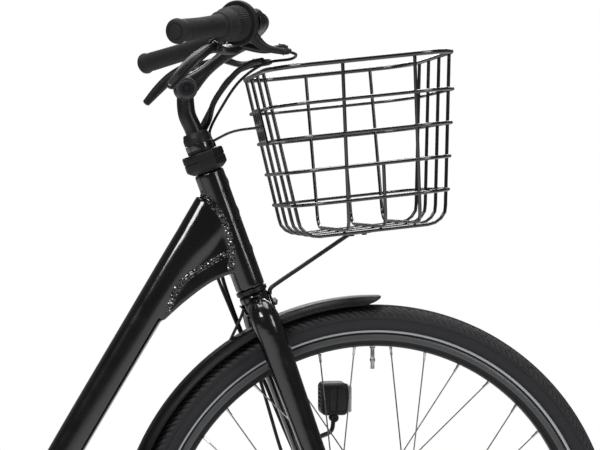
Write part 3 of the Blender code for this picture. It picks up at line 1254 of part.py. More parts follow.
def make_cables(mats):
    port = collar_port(0.0100, 0.0225)
    cable("cable_bundle", [rel(-0.1770, 1.0550, -0.1370), rel(-0.1890, 1.0530, -0.1150),
                           rel(-0.2040, 1.0440, -0.0880), rel(-0.2200, 1.0240, -0.0560),
                           rel(-0.2320, 1.0020, -0.0280), rel(-0.2350, 0.9800, 0.0060),
                           port + STEER_DIR * 0.0200, port + STEER_DIR * 0.0040, port], 0.0040, mats, 8)
    port = collar_port(0.0222, 0.0110)
    cable("shift_cable", [rel(-0.1420, 1.0648, -0.1600), rel(-0.1330, 1.0620, -0.1500),
                          rel(-0.1370, 1.0580, -0.1250), rel(-0.1680, 1.0540, -0.0900),
                          rel(-0.1980, 1.0320, -0.0540), rel(-0.2200, 0.9960, -0.0180),
                          port + STEER_DIR * 0.0230, port + STEER_DIR * 0.0040, port], 0.0020, mats)
    port = collar_port(-0.0030, 0.0247)
    cable("left_brake_cable", [rel(-0.1392, 1.0749, 0.1403), rel(-0.1290, 1.0740, 0.1300),
                               rel(-0.1360, 1.0680, 0.1080), rel(-0.1700, 1.0600, 0.0850),
                               rel(-0.2030, 1.0400, 0.0620), rel(-0.2310, 0.9950, 0.0420),
                               port + STEER_DIR * 0.0160, port + STEER_DIR * 0.0040, port], 0.0025, mats)
    cable("front_brake_cable", [rel(-0.2290, 0.7760, 0.0205), rel(-0.2170, 0.7450, 0.0240),
                                rel(-0.1930, 0.6900, 0.0380), rel(-0.1590, 0.6086, 0.0400),
                                rel(-0.1270, 0.5027, 0.0420), rel(-0.1060, 0.4550, 0.0420),
                                rel(-0.0850, 0.4300, 0.0405), rel(-0.0800, HUB_Z + 0.0610, 0.0400)],
          0.0025, mats)
    cable("motor_cable", [rel(-0.2200, 0.7870, 0.0220), rel(-0.2090, 0.7450, 0.0450),
                          rel(-0.1800, 0.6700, 0.0680), rel(-0.1500, 0.6056, 0.0700),
                          rel(-0.1040, 0.4985, 0.0740), rel(-0.0700, 0.4350, 0.0762),
                          rel(-0.0350, 0.3800, 0.0810), rel(-0.0120, 0.3630, 0.0810),
                          rel(-0.0010, HUB_Z, 0.0770), rel(0.0, HUB_Z, 0.0710),
                          rel(0.0, HUB_Z, FRONT_AXLE_HALF + GAP)], 0.0028, mats)


def saddle_stations():
    """Half width, top and underside of the saddle from the nose to the tail, as (way back, ...)."""
    return [(0.000, 0.012, 0.9440, 0.9380), (0.012, 0.022, 0.9530, 0.9335), (0.060, 0.028, 0.9600, 0.9320),
            (0.110, 0.038, 0.9625, 0.9320), (0.150, 0.056, 0.9640, 0.9330), (0.185, 0.080, 0.9690, 0.9350),
            (0.215, 0.098, 0.9760, 0.9380), (0.240, SADDLE_HALF_W, 0.9810, 0.9410),
            (0.256, 0.098, 0.9800, 0.9460), (SADDLE_LEN, 0.078, 0.9700, 0.9540)]


def make_saddle(mats):
    rings = []
    for back, half, top, low in saddle_stations():
        ring = []
        for k in range(14):
            a = pi * k / 13
            across = abs(cos(a)) ** 0.75 * (1 if cos(a) >= 0 else -1)
            rise = max(0.0, sin(a)) ** 0.7
            dip = 0.006 * max(0.0, 1 - 2 * abs(across)) * min(1.0, back / 0.1)
            ring.append(Vector((SADDLE_NOSE_X - back, half * across, low + (top - low) * rise - dip)))
        for k in range(1, 6):
            f = k / 6
            ring.append(Vector((SADDLE_NOSE_X - back, -half + 2 * half * f, low)))
        rings.append(ring)
    to_object("saddle_cover", loft(rings), mats["saddle"], (SADDLE_NOSE_X - SADDLE_LEN / 2, 0, 0.95))
    rings = []
    for back, half, _, low in saddle_stations()[1:-1]:
        inset = 0.88
        top = low - GAP
        ring = []
        for f, drop in ((-1.0, 0.0), (-0.5, 0.0), (0.0, 0.0), (0.5, 0.0), (1.0, 0.0), (0.96, 0.004),
                        (0.5, 0.0055), (0.0, 0.006), (-0.5, 0.0055), (-0.96, 0.004)):
            ring.append(Vector((SADDLE_NOSE_X - back, half * inset * f, top - drop)))
        rings.append(ring)
    base = to_object("saddle_base", loft(rings), mats["plastic"])
    nose = [Vector((SADDLE_NOSE_X - back, y, z)) for back, y, z in (
        (0.030, 0.0, 0.9285), (0.034, 0.0100, 0.9270), (0.055, 0.0170, 0.9180), (0.085, RAIL_Y, RAIL_Z),
        (0.165, RAIL_Y, RAIL_Z), (0.205, 0.0300, 0.9210), (0.222, 0.0340, 0.9350))]
    path = list(reversed(mirror_y(nose)))[:-1] + nose
    weld(base, [tube_bm(path, RAIL_R, sides=6, up=Vector((0, 0, 1)))])


def make_seat(mats):
    low = seat_point(0.505)
    top = seat_point(RAIL_Z - 0.004)
    post = to_object("seat_post", tube_bm([low, top], POST_R, sides=16), mats["dark_metal"])
    mid = seat_point(RAIL_Z)
    weld(post, [soft_box_bm((mid.x - 0.019, -RAIL_Y - 0.007, RAIL_Z - 0.009),
                            (mid.x + 0.019, RAIL_Y + 0.007, RAIL_Z + 0.009), 0.003, 1)])
    cut(post, [tube_bm([(mid.x - 0.03, y, RAIL_Z), (mid.x + 0.03, y, RAIL_Z)], RAIL_R + GAP, sides=10)
               for y in (RAIL_Y, -RAIL_Y)])
    ring_low = SEAT_TUBE_TOP_Z - 0.018
    ring_top = SEAT_TUBE_TOP_Z - 0.001
    run = (seat_point(ring_top) - seat_point(ring_low)).length
    ring = ring_profile(SEAT_TUBE_R + GAP, SEAT_TUBE_R + 0.0032, 0.0, run)
    clamp = to_object("seat_clamp", turned_bm(ring, seat_point(ring_low), SEAT_DIR, 16), mats["satin_black"])
    ear = seat_point(SEAT_TUBE_TOP_Z - 0.0095) + Vector((SEAT_TUBE_R + 0.0065, 0, 0.004))
    lug = soft_box_bm(ear - Vector((0.004, 0.008, 0.006)), ear + Vector((0.006, 0.008, 0.006)), 0.0015, 1)
    screw = turned_bm(disc_profile(0.0040, -0.0115, 0.0115), (ear.x + 0.0010, 0, ear.z), steps=8)
    weld(clamp, [lug, screw])
    make_saddle(mats)


def make_carrier(mats):
    """Rear rack of bent tube: rails meeting behind the seat tube, crossbars, and legs to the dropouts."""
    bend = 0.030
    tail = CARRIER_TAIL_X
    half = CARRIER_HALF_W
    side = [seat_point(0.6490, 0.0130) - Vector((SEAT_TUBE_R + 0.0105, 0, 0)),
            Vector((-0.2420, 0.0230, 0.6850)), Vector((-0.3050, 0.0450, 0.7620)),
            Vector((CARRIER_FRONT_X + 0.030, half - 0.006, 0.7935)),
            Vector((CARRIER_FRONT_X - 0.010, half, CARRIER_Z)), Vector((tail + bend, half, CARRIER_Z)),
            Vector((tail + bend * 0.30, half - bend * 0.30, CARRIER_Z)),
            Vector((tail, half - bend, CARRIER_Z))]
    path = side + list(reversed(mirror_y(side)))
    carrier = to_object("rear_carrier", tube_bm(path, CARRIER_R, sides=6, up=Vector((0, 0, 1))),
                        mats["satin_black"])
    bodies = [tube_bm([(x, -half, CARRIER_Z + 0.001), (x, half, CARRIER_Z + 0.001)], 0.0045, sides=6,
                      up=Vector((0, 0, 1))) for x in (-0.440, -0.600, -0.760)]
    for y in (-0.024, 0.024):
        bodies.append(tube_bm([(-0.440, y, CARRIER_Z + 0.001), (tail, y, CARRIER_Z)], 0.0040, sides=6))
    for hand in (1, -1):
        foot_y = REAR_OLN / 2 + DROPOUT_W + GAP + 0.0042
        leg = [Vector((XR - 0.013, hand * foot_y, HUB_Z + 0.022)),
               Vector((XR - 0.016, hand * foot_y, HUB_Z + 0.050)),
               Vector((XR - 0.060, hand * (half + 0.007), 0.680)),
               Vector((XR - 0.072, hand * half, CARRIER_Z - 0.001))]
        bodies.append(tube_bm(leg, [0.0035, 0.0050, 0.0050, 0.0050], sides=6,
                              depth=[0.0065, 0.0050, 0.0050, 0.0050]))
        front = [Vector((XR - 0.013, hand * foot_y, HUB_Z + 0.030)),
                 Vector((XR + 0.010, hand * (foot_y + 0.0015), 0.470)),
                 Vector((XR + 0.070, hand * (half + 0.006), 0.680)),
                 Vector((XR + 0.085, hand * half, CARRIER_Z - 0.001))]
        bodies.append(tube_bm(front, [0.0035, 0.0045, 0.0045, 0.0045], sides=6))
    weld(carrier, bodies)
    return carrier


def make_battery(mats):
    """Battery pack that slides in from the rear on a tray hung between the carrier's rails."""
    front = BATTERY_FRONT_X
    tail = front - BATTERY_LEN
    floor = DOCK_Z + DOCK_WALL
    wall = DOCK_HALF_W - DOCK_WALL
    tray = box_bm((tail + 0.030, -DOCK_HALF_W, DOCK_Z), (front + 0.026, DOCK_HALF_W, floor))
    dock = to_object("battery_dock", tray, mats["satin_black"])
    bodies = [box_bm((front + GAP, -wall - 0.001, DOCK_Z + 0.001),
                     (front + 0.026, wall + 0.001, CARRIER_Z - 0.009))]
    for hand in (1, -1):
        inner = hand * wall
        outer = hand * DOCK_HALF_W
        y_low = min(inner, outer)
        y_high = max(inner, outer)
        bodies.append(box_bm((tail + 0.030, y_low, DOCK_Z + 0.001), (front + 0.026, y_high, floor + 0.012)))
        for x in (front - 0.030, tail + 0.110):
            bodies.append(box_bm((x - 0.016, y_low, DOCK_Z + 0.001),
                                 (x + 0.016, y_high, CARRIER_Z + 0.002)))
    weld(dock, bodies)
    half = wall - GAP
    shell = soft_box_bm((tail, -half, floor + GAP), (front, half, CARRIER_Z - CARRIER_R - GAP), 0.006, 2)
    pack = to_object("battery", shell, mats["plastic"])
    grip = tail + 0.020
    cut(pack, [soft_box_bm((grip - 0.050, -0.030, floor + 0.016), (grip - 0.004, 0.030, CARRIER_Z - 0.022),
                           0.003, 1)])
    return pack


def make_stand(mats):
    """Two-legged stand whose pin turns in the frame's block behind the cranks."""
    pivot = Vector((STAND_X, 0, STAND_Z))
    cheek_in = STAND_BLOCK_Y + GAP
    cheek_out = 0.0262
    legs = [turned_bm(disc_profile(STAND_PIN_R, -cheek_out - 0.003, cheek_out + 0.003), pivot, steps=10)]
    for side in (1, -1):
        points = [Vector((STAND_X - 0.003, side * 0.0300, STAND_Z - 0.018)),
                  Vector((STAND_X - 0.006, side * 0.0320, 0.150)),
                  Vector((STAND_X - 0.010, side * 0.0420, 0.122)),
                  Vector((STAND_X - 0.020, side * STAND_FOOT_Y, 0.006))]
        legs.append(tube_bm(points, STAND_R, sides=6))
        legs.append(turned_bm(disc_profile(0.0130, side * cheek_in, side * cheek_out), pivot, steps=10))
        low = min(side * cheek_in, side * 0.0330)
        high = max(side * cheek_in, side * 0.0330)
        legs.append(box_bm((STAND_X - 0.011, low, STAND_Z - 0.034),
                           (STAND_X + 0.006, high, STAND_Z - 0.0090)))
        foot = Vector((STAND_X - 0.020, side * STAND_FOOT_Y, 0.0))
        legs.append(box_bm(foot - Vector((0.022, 0.011, 0.0)), foot + Vector((0.016, 0.011, 0.009))))
    ends = [(STAND_X - 0.004, y, STAND_Z - 0.050) for y in (-0.030, 0.030)]
    bridge = tube_bm(ends, 0.0055, sides=6, up=Vector((0, 0, 1)))
    stand = to_object("center_stand", bridge, mats["satin_black"], pivot)
    weld(stand, legs)


def main():
    clear_scene()
    mats = make_materials()
    make_frame(mats)
    make_fork(mats)
    octagon_collar(mats)
    make_front_wheel(mats)
    valve("front_valve", XF, mats)
    make_rear_wheel(mats)
    make_drive(mats)
    make_mudguards(mats)
    make_stem(mats)
    make_handlebar(mats)
    make_basket(mats)
    make_basket_mounts(mats)
    make_headlight(mats)
    make_caliper(mats)
    make_cables(mats)
    make_seat(mats)
    make_carrier(mats)
    make_battery(mats)
    make_stand(mats)


main()
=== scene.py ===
"""Studio scene of the black step-through electric bicycle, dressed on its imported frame.

Sizes are in metres and in the frame's own axes: +X forward, +Y to the rider's left, +Z up.
"""
import bmesh
import bpy
import json
from math import asin, atan, cos, pi, radians, sin, tan
from mathutils import Matrix, Vector, noise
from mathutils.bvhtree import BVHTree


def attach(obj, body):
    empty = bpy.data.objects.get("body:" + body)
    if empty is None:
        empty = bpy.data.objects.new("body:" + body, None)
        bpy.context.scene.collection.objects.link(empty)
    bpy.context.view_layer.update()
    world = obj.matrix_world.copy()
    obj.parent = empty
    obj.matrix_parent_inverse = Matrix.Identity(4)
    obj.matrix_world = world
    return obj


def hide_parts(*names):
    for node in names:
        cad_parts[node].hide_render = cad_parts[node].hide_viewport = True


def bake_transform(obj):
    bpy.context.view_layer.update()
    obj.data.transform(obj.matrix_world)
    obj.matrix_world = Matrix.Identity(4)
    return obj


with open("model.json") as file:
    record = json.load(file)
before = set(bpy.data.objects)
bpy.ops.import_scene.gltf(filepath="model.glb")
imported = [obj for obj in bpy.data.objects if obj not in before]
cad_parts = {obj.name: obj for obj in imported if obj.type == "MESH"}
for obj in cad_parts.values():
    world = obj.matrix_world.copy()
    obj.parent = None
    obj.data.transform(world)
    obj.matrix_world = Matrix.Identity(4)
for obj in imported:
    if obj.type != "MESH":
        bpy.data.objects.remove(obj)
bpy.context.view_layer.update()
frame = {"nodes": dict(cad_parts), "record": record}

# Sizes shared with the CAD source
XF, XR, HUB_Z = 0.591, -0.529, 0.358
XB, BB_Z = -0.064, 0.285
TYRE_R, TYRE_HALF_W = 0.358, 0.0235
RIM_R, RIM_DEPTH, RIM_HALF_W, BEAD_R = 0.3165, 0.0185, 0.012, 0.3095
# The rim's band radii mark where its outer wall is painted with a reflection.
REFLECTION_BAND_LOW_R, REFLECTION_BAND_HIGH_R = 0.3072, 0.3158
SPOKES, SPOKE_SPREAD = 36, 0.0024
LINE_LOW_R, LINE_HIGH_R, TREAD_R = 0.3188, 0.3219, 0.3425
TREAD_DEPTH, TREAD_CUTS, CUT_STEPS = 0.0032, 216, 5
RIB_LOW_R, RIB_HIGH_R, RIB_WIDTH, SHOULDER_R = 0.3228, 0.3378, 0.001, 0.3395
MOTOR_R, MOTOR_FLANGE_R, MOTOR_HALF_W = 0.061, 0.0705, 0.038
GEAR_HUB_R, GEAR_FLANGE_R, GEAR_HALF_W = 0.04, 0.049, 0.04
FLANGE_Y_HUB, HOLE_INSET = 0.0275, 0.005
STEER_TAN, AXIS_SETBACK = 0.36, 0.0384
STEER_LEAN = atan(STEER_TAN)
STEER_DIR = Vector((-STEER_TAN, 0, 1)).normalized()
HEAD_LOW_Z, HEAD_TOP_Z, HEAD_R = 0.7405, 0.907, 0.0215
GUSSET_HALF_W = 0.0175
SEAT_TAN = 0.325
GUARD_R, GUARD_EDGE_R, GUARD_HALF_W, GUARD_DROP = 0.372, 0.36, 0.0285, 0.12
GUARD_SKIN_R, GUARD_LIP_H, STAY_DROP = GUARD_R - 0.0004, 0.012, 0.019
STAY_Y = (0.135 + 0.006) / 2 + 0.00015
ROTOR_Y, ROTOR_HALF_T = 0.0425, 0.0009
BAR_R = 0.0127


# Geometry helpers


def rel(x, z, y=0.0):
    """A point given from the front hub's station."""
    return Vector((XF + x, y, z))


def steer_point(z, ahead=0.0, y=0.0):
    """A point on the steering axis at a height, or ahead of it square to the axis."""
    return Vector((XF - AXIS_SETBACK - STEER_TAN * (z - HUB_Z) + ahead * cos(STEER_LEAN), y,
                   z + ahead * sin(STEER_LEAN)))


def seat_point(z, y=0.0):
    return Vector((XB - SEAT_TAN * (z - BB_Z), y, z))


def around(hub_x, r, a, y=0.0):
    """A point at a radius and an angle about a wheel's axis."""
    return Vector((hub_x + r * cos(a), y, HUB_Z + r * sin(a)))


def mirrored(points):
    return [Vector((p[0], -p[1], p[2])) for p in points]


def smooth_path(points, per_span=6):
    """Points on a Catmull-Rom curve through the given points."""
    pts = [Vector(p) for p in points]
    pts = [pts[0] * 2 - pts[1]] + pts + [pts[-1] * 2 - pts[-2]]
    out = []
    for i in range(1, len(pts) - 2):
        a, b, c, d = pts[i - 1:i + 3]
        for k in range(per_span):
            t = k / per_span
            out.append(0.5 * (2 * b + (c - a) * t + (2 * a - 5 * b + 4 * c - d) * t * t
                              + (3 * b - a - 3 * c + d) * t ** 3))
    out.append(pts[-2])
    return out


def smooth_values(values, per_span=6):
    return [v.x for v in smooth_path([(v, 0, 0) for v in values], per_span)]


def loft(rings, closed=False):
    """A skin over a row of rings, capped at both ends unless the row closes on itself."""
    bm = bmesh.new()
    rows = [[bm.verts.new(p) for p in ring] for ring in rings]
    count = len(rows[0])
    for i in range(len(rows) if closed else len(rows) - 1):
        low, high = rows[i], rows[(i + 1) % len(rows)]
        for k in range(count):
            bm.faces.new((low[k], low[(k + 1) % count], high[(k + 1) % count], high[k]))
    if not closed:
        bm.faces.new(list(reversed(rows[0])))
        bm.faces.new(rows[-1])
    return bm


def sweep(points, wide, sides=16, deep=None, power=2.0, up=Vector((0, 1, 0)), closed=False):
    """A bar along a path: wide is its half width along up at each point, deep its half height."""
    points = [Vector(p) for p in points]
    wide = wide if hasattr(wide, "__len__") else [wide] * len(points)
    deep = deep or wide
    rings = []
    side = None
    count = len(points)
    for i, p in enumerate(points):
        if closed:
            tangent = (points[(i + 1) % count] - points[i - 1]).normalized()
        else:
            tangent = (points[min(i + 1, count - 1)] - points[max(i - 1, 0)]).normalized()
        side = (up if side is None else side).copy()
        side -= tangent * side.dot(tangent)
        side.normalize()
        normal = tangent.cross(side)
        ring = []
        for k in range(sides):
            a = 2 * pi * k / sides
            c, s = cos(a), sin(a)
            c = abs(c) ** (2 / power) * (1 if c >= 0 else -1)
            s = abs(s) ** (2 / power) * (1 if s >= 0 else -1)
            ring.append(p + side * (wide[i] * c) + normal * (deep[i] * s))
        rings.append(ring)
    return loft(rings, closed)


def lathe(profile, centre, axis=(0, 1, 0), steps=48, start=0.0):
    """A turned body. profile lists (radius, distance along the axis)."""
    axis = Vector(axis).normalized()
    turn = axis.to_track_quat("Z", "Y").to_matrix()
    if abs(axis.y) > 0.999:
        turn = Matrix(((1, 0, 0), (0, 0, axis.y), (0, 1, 0)))
    centre = Vector(centre)
    bm = bmesh.new()
    rows = []
    for r, h in profile:
        if r < 1e-7:
            rows.append([bm.verts.new(centre + axis * h)])
        else:
            rows.append([bm.verts.new(centre + turn @ Vector((r * cos(start + 2 * pi * k / steps),
                                                              r * sin(start + 2 * pi * k / steps), 0))
                                      + axis * h) for k in range(steps)])
    solid = len(rows[0]) == 1
    for i in range(len(rows) - 1 if solid else len(rows)):
        low, high = rows[i], rows[(i + 1) % len(rows)]
        for k in range(steps):
            n = (k + 1) % steps
            if len(low) == 1 and len(high) == 1:
                continue
            if len(low) == 1:
                bm.faces.new((low[0], high[n], high[k]))
            elif len(high) == 1:
                bm.faces.new((low[k], low[n], high[0]))
            else:
                bm.faces.new((low[k], low[n], high[n], high[k]))
    return bm


def disc(radius, low, high, edge=0.0):
    if edge:
        return [(0, low), (radius - edge, low), (radius, low + edge), (radius, high - edge),
                (radius - edge, high), (0, high)]
    return [(0, low), (radius, low), (radius, high), (0, high)]


def slab(outline, y_low, y_high):
    """A flat plate with its outline in X and Z."""
    return loft([[Vector((x, y_low, z)) for x, z in outline], [Vector((x, y_high, z)) for x, z in outline]])


def block(low, high, edge=0.0, segments=3):
    bm = bmesh.new()
    low, high = Vector(low), Vector(high)
    bmesh.ops.create_cube(bm, size=1.0)
    bmesh.ops.scale(bm, verts=bm.verts, vec=high - low)
    bmesh.ops.translate(bm, verts=bm.verts, vec=(high + low) / 2)
    if edge:
        bmesh.ops.bevel(bm, geom=list(bm.edges), offset=edge, segments=segments, profile=0.5,
                        affect="EDGES")
    return bm


def gathered(parts):
    """One bmesh out of several."""
    out = bmesh.new()
    for bm in parts:
        mesh = bpy.data.meshes.new("tmp")
        bm.to_mesh(mesh)
        bm.free()
        out.from_mesh(mesh)
        bpy.data.meshes.remove(mesh)
    return out


def linked(name, bm):
    """A scene object made of a bmesh, with its faces turned outwards."""
    bmesh.ops.recalc_face_normals(bm, faces=bm.faces)
    obj = bpy.data.objects.new(name, bpy.data.meshes.new(name))
    bm.to_mesh(obj.data)
    bm.free()
    bpy.context.scene.collection.objects.link(obj)
    return obj


def evaluated(obj):
    """A new mesh of the object with its modifiers applied."""
    return bpy.data.meshes.new_from_object(obj.evaluated_get(bpy.context.evaluated_depsgraph_get()))


def taken(objects):
    """The first object's finished form as a bmesh. The objects are removed."""
    bpy.context.view_layer.update()
    done = evaluated(objects[0])
    out = bmesh.new()
    out.from_mesh(done)
    bpy.data.meshes.remove(done)
    for obj in objects:
        mesh = obj.data
        bpy.data.objects.remove(obj)
        bpy.data.meshes.remove(mesh)
    return out


def melted(bm, voxel, rounds):
    """Bodies run together as one skin with soft welds at their joints."""
    obj = linked("melt", bm)
    mod = obj.modifiers.new("melt", "REMESH")
    mod.mode = "VOXEL"
    mod.voxel_size = voxel
    mod = obj.modifiers.new("ease", "SMOOTH")
    mod.factor = 0.5
    mod.iterations = rounds
    return taken([obj])


def carved(bm, cutter):
    """One body with another cut out of it."""
    objects = [linked("carve", bm), linked("carve", cutter)]
    mod = objects[0].modifiers.new("cut", "BOOLEAN")
    mod.operation = "DIFFERENCE"
    mod.object = objects[1]
    return taken(objects)


def toothed(stations, centre, axis, teeth, per_tooth=4):
    """A turned body of stations (radius, distance, tooth depth), ribbed where the depth isn't 0."""
    axis = Vector(axis).normalized()
    turn = axis.to_track_quat("Z", "Y").to_matrix()
    count = teeth * per_tooth
    rings = []
    for radius, along, depth in stations:
        ring = []
        for k in range(count):
            a = 2 * pi * k / count
            r = radius - depth * (0.5 - 0.5 * cos(2 * pi * k / per_tooth))
            ring.append(Vector(centre) + turn @ Vector((r * cos(a), r * sin(a), 0)) + axis * along)
        rings.append(ring)
    return loft(rings, closed=True)


def piece(name, bm, finish, body, stands_for=(), angle=38, edge=0.0, slot=None):
    """Puts a piece into the scene. A body given by name holds it; given as two bodies and two points, the
    piece is left fixed in place and doesn't bend.
    """
    slot = slot or finish
    obj = linked(name, bm)
    obj.data.shade_smooth()
    obj.data.set_sharp_from_angle(angle=radians(angle))
    obj.data.materials.append(MAT[finish] if isinstance(finish, str) else finish)
    if edge:
        mod = obj.modifiers.new("edges", "BEVEL")
        mod.width = edge
        mod.segments = 2
        mod.limit_method = "ANGLE"
        mod.angle_limit = radians(40)
        mod.harden_normals = True
    if isinstance(body, str):
        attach(obj, body)
    else:
        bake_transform(obj)
    if stands_for:
        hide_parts(*stands_for)
    return obj


# Materials

def add(tree, kind, inputs=None, **settings):
    made = tree.nodes.new("ShaderNode" + kind)
    for key, value in settings.items():
        setattr(made, key, value)
    for key, value in (inputs or {}).items():
        if isinstance(value, bpy.types.NodeSocket):
            tree.links.new(value, made.inputs[key])
        else:
            made.inputs[key].default_value = value
    return made


def calc(tree, operation, a, b=0.0):
    made = tree.nodes.new("ShaderNodeMath")
    made.operation = operation
    for socket, value in zip(made.inputs, (a, b)):
        if isinstance(value, bpy.types.NodeSocket):
            tree.links.new(value, socket)
        else:
            socket.default_value = value
    return made.outputs[0]


def between(tree, value, low, high, soft):
    """1 where the value lies between low and high, falling off over soft."""
    up = add(tree, "MapRange", {"Value": value, "From Min": low - soft, "From Max": low + soft})
    down = add(tree, "MapRange", {"Value": value, "From Min": high - soft, "From Max": high + soft,
                                  "To Min": 1.0, "To Max": 0.0})
    return calc(tree, "MULTIPLY", up.outputs[0], down.outputs[0])


def blended(tree, factor, a, b):
    """Colour a where the factor is 0, b where it is 1."""
    made = tree.nodes.new("ShaderNodeMix")
    made.data_type = "RGBA"
    for index, value in ((0, factor), (6, a), (7, b)):
        if isinstance(value, bpy.types.NodeSocket):
            tree.links.new(value, made.inputs[index])
        else:
            made.inputs[index].default_value = value if index == 0 else (*value, 1.0)
    return made.outputs[2]


def polar(tree, hub_x):
    """Radius and angle about a wheel's axis."""
    xyz = add(tree, "SeparateXYZ", {0: add(tree, "TexCoord").outputs["Object"]}).outputs
    x = calc(tree, "SUBTRACT", xyz[0], hub_x)
    z = calc(tree, "SUBTRACT", xyz[2], HUB_Z)
    radius = calc(tree, "SQRT",
                  calc(tree, "ADD", calc(tree, "MULTIPLY", x, x), calc(tree, "MULTIPLY", z, z)))
    return radius, calc(tree, "ARCTAN2", z, x)


def surface(name, color, rough, metal=0.0, coat=0.0, coat_rough=0.04, tint=0.25, cell=18.0, spread=0.08,
            grain=700.0, relief=0.15, depth=0.0002, stretch=(1, 1, 1), dust=0.0, sheen=0.0, gloss=0.3):
    """Worn, grained surface. Returns the material, its tree, shader, colour and bump nodes."""
    mat = bpy.data.materials.new(name)
    mat.use_nodes = True
    tree = mat.node_tree
    shader = tree.nodes["Principled BSDF"]
    place = add(tree, "Mapping",
                {"Vector": add(tree, "TexCoord").outputs["Object"], "Scale": stretch}).outputs[0]
    cloud = add(tree, "TexNoise",
                {"Vector": place, "Scale": cell, "Detail": 6.0, "Roughness": 0.62}).outputs[0]
    fine = add(tree, "TexNoise",
               {"Vector": place, "Scale": grain, "Detail": 3.0, "Roughness": 0.55}).outputs[0]
    span = add(tree, "MapRange", {"Value": cloud, "From Min": 0.3, "From Max": 0.7}).outputs[0]
    dark = tuple(c * (1 - tint) for c in color)
    light = tuple(c * (1 + tint) for c in color)
    tone = blended(tree, span, dark, light)
    if dust:
        fleck = add(tree, "TexNoise",
                    {"Vector": place, "Scale": 55.0, "Detail": 8.0, "Roughness": 0.75}).outputs[0]
        spots = add(tree, "MapRange",
                    {"Value": fleck, "From Min": 0.62, "From Max": 0.8, "To Max": dust}).outputs[0]
        tone = blended(tree, spots, tone, (0.3, 0.3, 0.29))
    shine = add(tree, "MapRange", {"Value": cloud, "From Min": 0.3, "From Max": 0.7,
                                   "To Min": max(0.02, rough - spread), "To Max": min(1.0, rough + spread)})
    bump = add(tree, "Bump", {"Strength": relief, "Distance": depth, "Height": fine})
    tree.links.new(tone, shader.inputs["Base Color"])
    tree.links.new(shine.outputs[0], shader.inputs["Roughness"])
    tree.links.new(bump.outputs[0], shader.inputs["Normal"])
    shader.inputs["Metallic"].default_value = metal
    shader.inputs["Specular IOR Level"].default_value = gloss
    if coat:
        shader.inputs["Coat Weight"].default_value = coat
        shader.inputs["Coat Roughness"].default_value = coat_rough
    if sheen:
        shader.inputs["Sheen Weight"].default_value = sheen
        shader.inputs["Sheen Roughness"].default_value = 0.4
    mat.diffuse_color = (*color, 1.0)
    return mat, tree, shader, tone, bump


def simple(*args, **kw):
    return surface(*args, **kw)[0]


def tyre_material(name, hub_x):
    """Black rubber with a pale reflective line by the rim, fine moulded ribs on its wall and painted shade
    in the tread's grooves.
    """
    mat, tree, shader, tone, bump = surface(name, (0.0135, 0.0135, 0.015), 0.6, tint=0.25, cell=30.0,
                                            grain=1500.0, relief=0.3, depth=0.0003)
    radius, angle = polar(tree, hub_x)
    line = between(tree, radius, LINE_LOW_R, LINE_HIGH_R, 0.0002)
    tone = blended(tree, line, tone, (0.48, 0.49, 0.52))
    wall = between(tree, radius, LINE_HIGH_R, TREAD_R, 0.002)
    tone = blended(tree, calc(tree, "MULTIPLY", wall, 0.5), tone, (0.019, 0.019, 0.023))
    # Painted shade: the skin under the tread band, seen at the bottoms of the tread's cuts, is painted near
    # black.
    groove_shade = between(tree, radius, TREAD_R + 0.0012, 1.0, 0.0004)
    tone = blended(tree, groove_shade, tone, (0.003, 0.003, 0.0032))
    tree.links.new(tone, shader.inputs["Base Color"])
    fine = calc(tree, "PINGPONG", calc(tree, "MULTIPLY", angle, 900.0 / (2 * pi)), 0.5)
    rib_a = between(tree, radius, RIB_LOW_R, RIB_LOW_R + RIB_WIDTH, 0.0003)
    rib_b = between(tree, radius, RIB_HIGH_R, RIB_HIGH_R + RIB_WIDTH, 0.0004)
    zone = between(tree, radius, SHOULDER_R, TREAD_R + 0.0005, 0.0004)
    height = calc(tree, "ADD", calc(tree, "ADD", rib_a, rib_b), calc(tree, "MULTIPLY", fine, zone))
    carve = add(tree, "Bump",
                {"Strength": 1.0, "Distance": 0.0008, "Height": height, "Normal": bump.outputs[0]})
    tree.links.new(carve.outputs[0], shader.inputs["Normal"])
    return mat


def rim_material(name, hub_x):
    """Black rim with a painted reflection: its outer wall is painted a light band, streaked and bumped with
    fine turning marks.
    """
    mat, tree, shader, tone, bump = surface(name, (0.008, 0.008, 0.0088), 0.34, metal=0.3, tint=0.2,
                                            cell=14.0, grain=900.0, relief=0.1)
    radius = polar(tree, hub_x)[0]
    # Painted reflection: between these radii the outer wall is painted a light streaked tone in place of the
    # light it reflects.
    track = between(tree, radius, REFLECTION_BAND_LOW_R, REFLECTION_BAND_HIGH_R, 0.0004)
    rings = add(tree, "TexNoise", {"W": calc(tree, "MULTIPLY", radius, 5200.0), "Scale": 1.0, "Detail": 2.0},
                noise_dimensions="1D").outputs[0]
    painted_reflection_tone = blended(tree, rings, (0.055, 0.056, 0.058), (0.105, 0.107, 0.11))
    tree.links.new(blended(tree, track, tone, painted_reflection_tone), shader.inputs["Base Color"])
    lines = add(tree, "Bump", {"Strength": 0.25, "Distance": 0.0002, "Height": rings,
                               "Normal": bump.outputs[0]})
    tree.links.new(lines.outputs[0], shader.inputs["Normal"])
    return mat


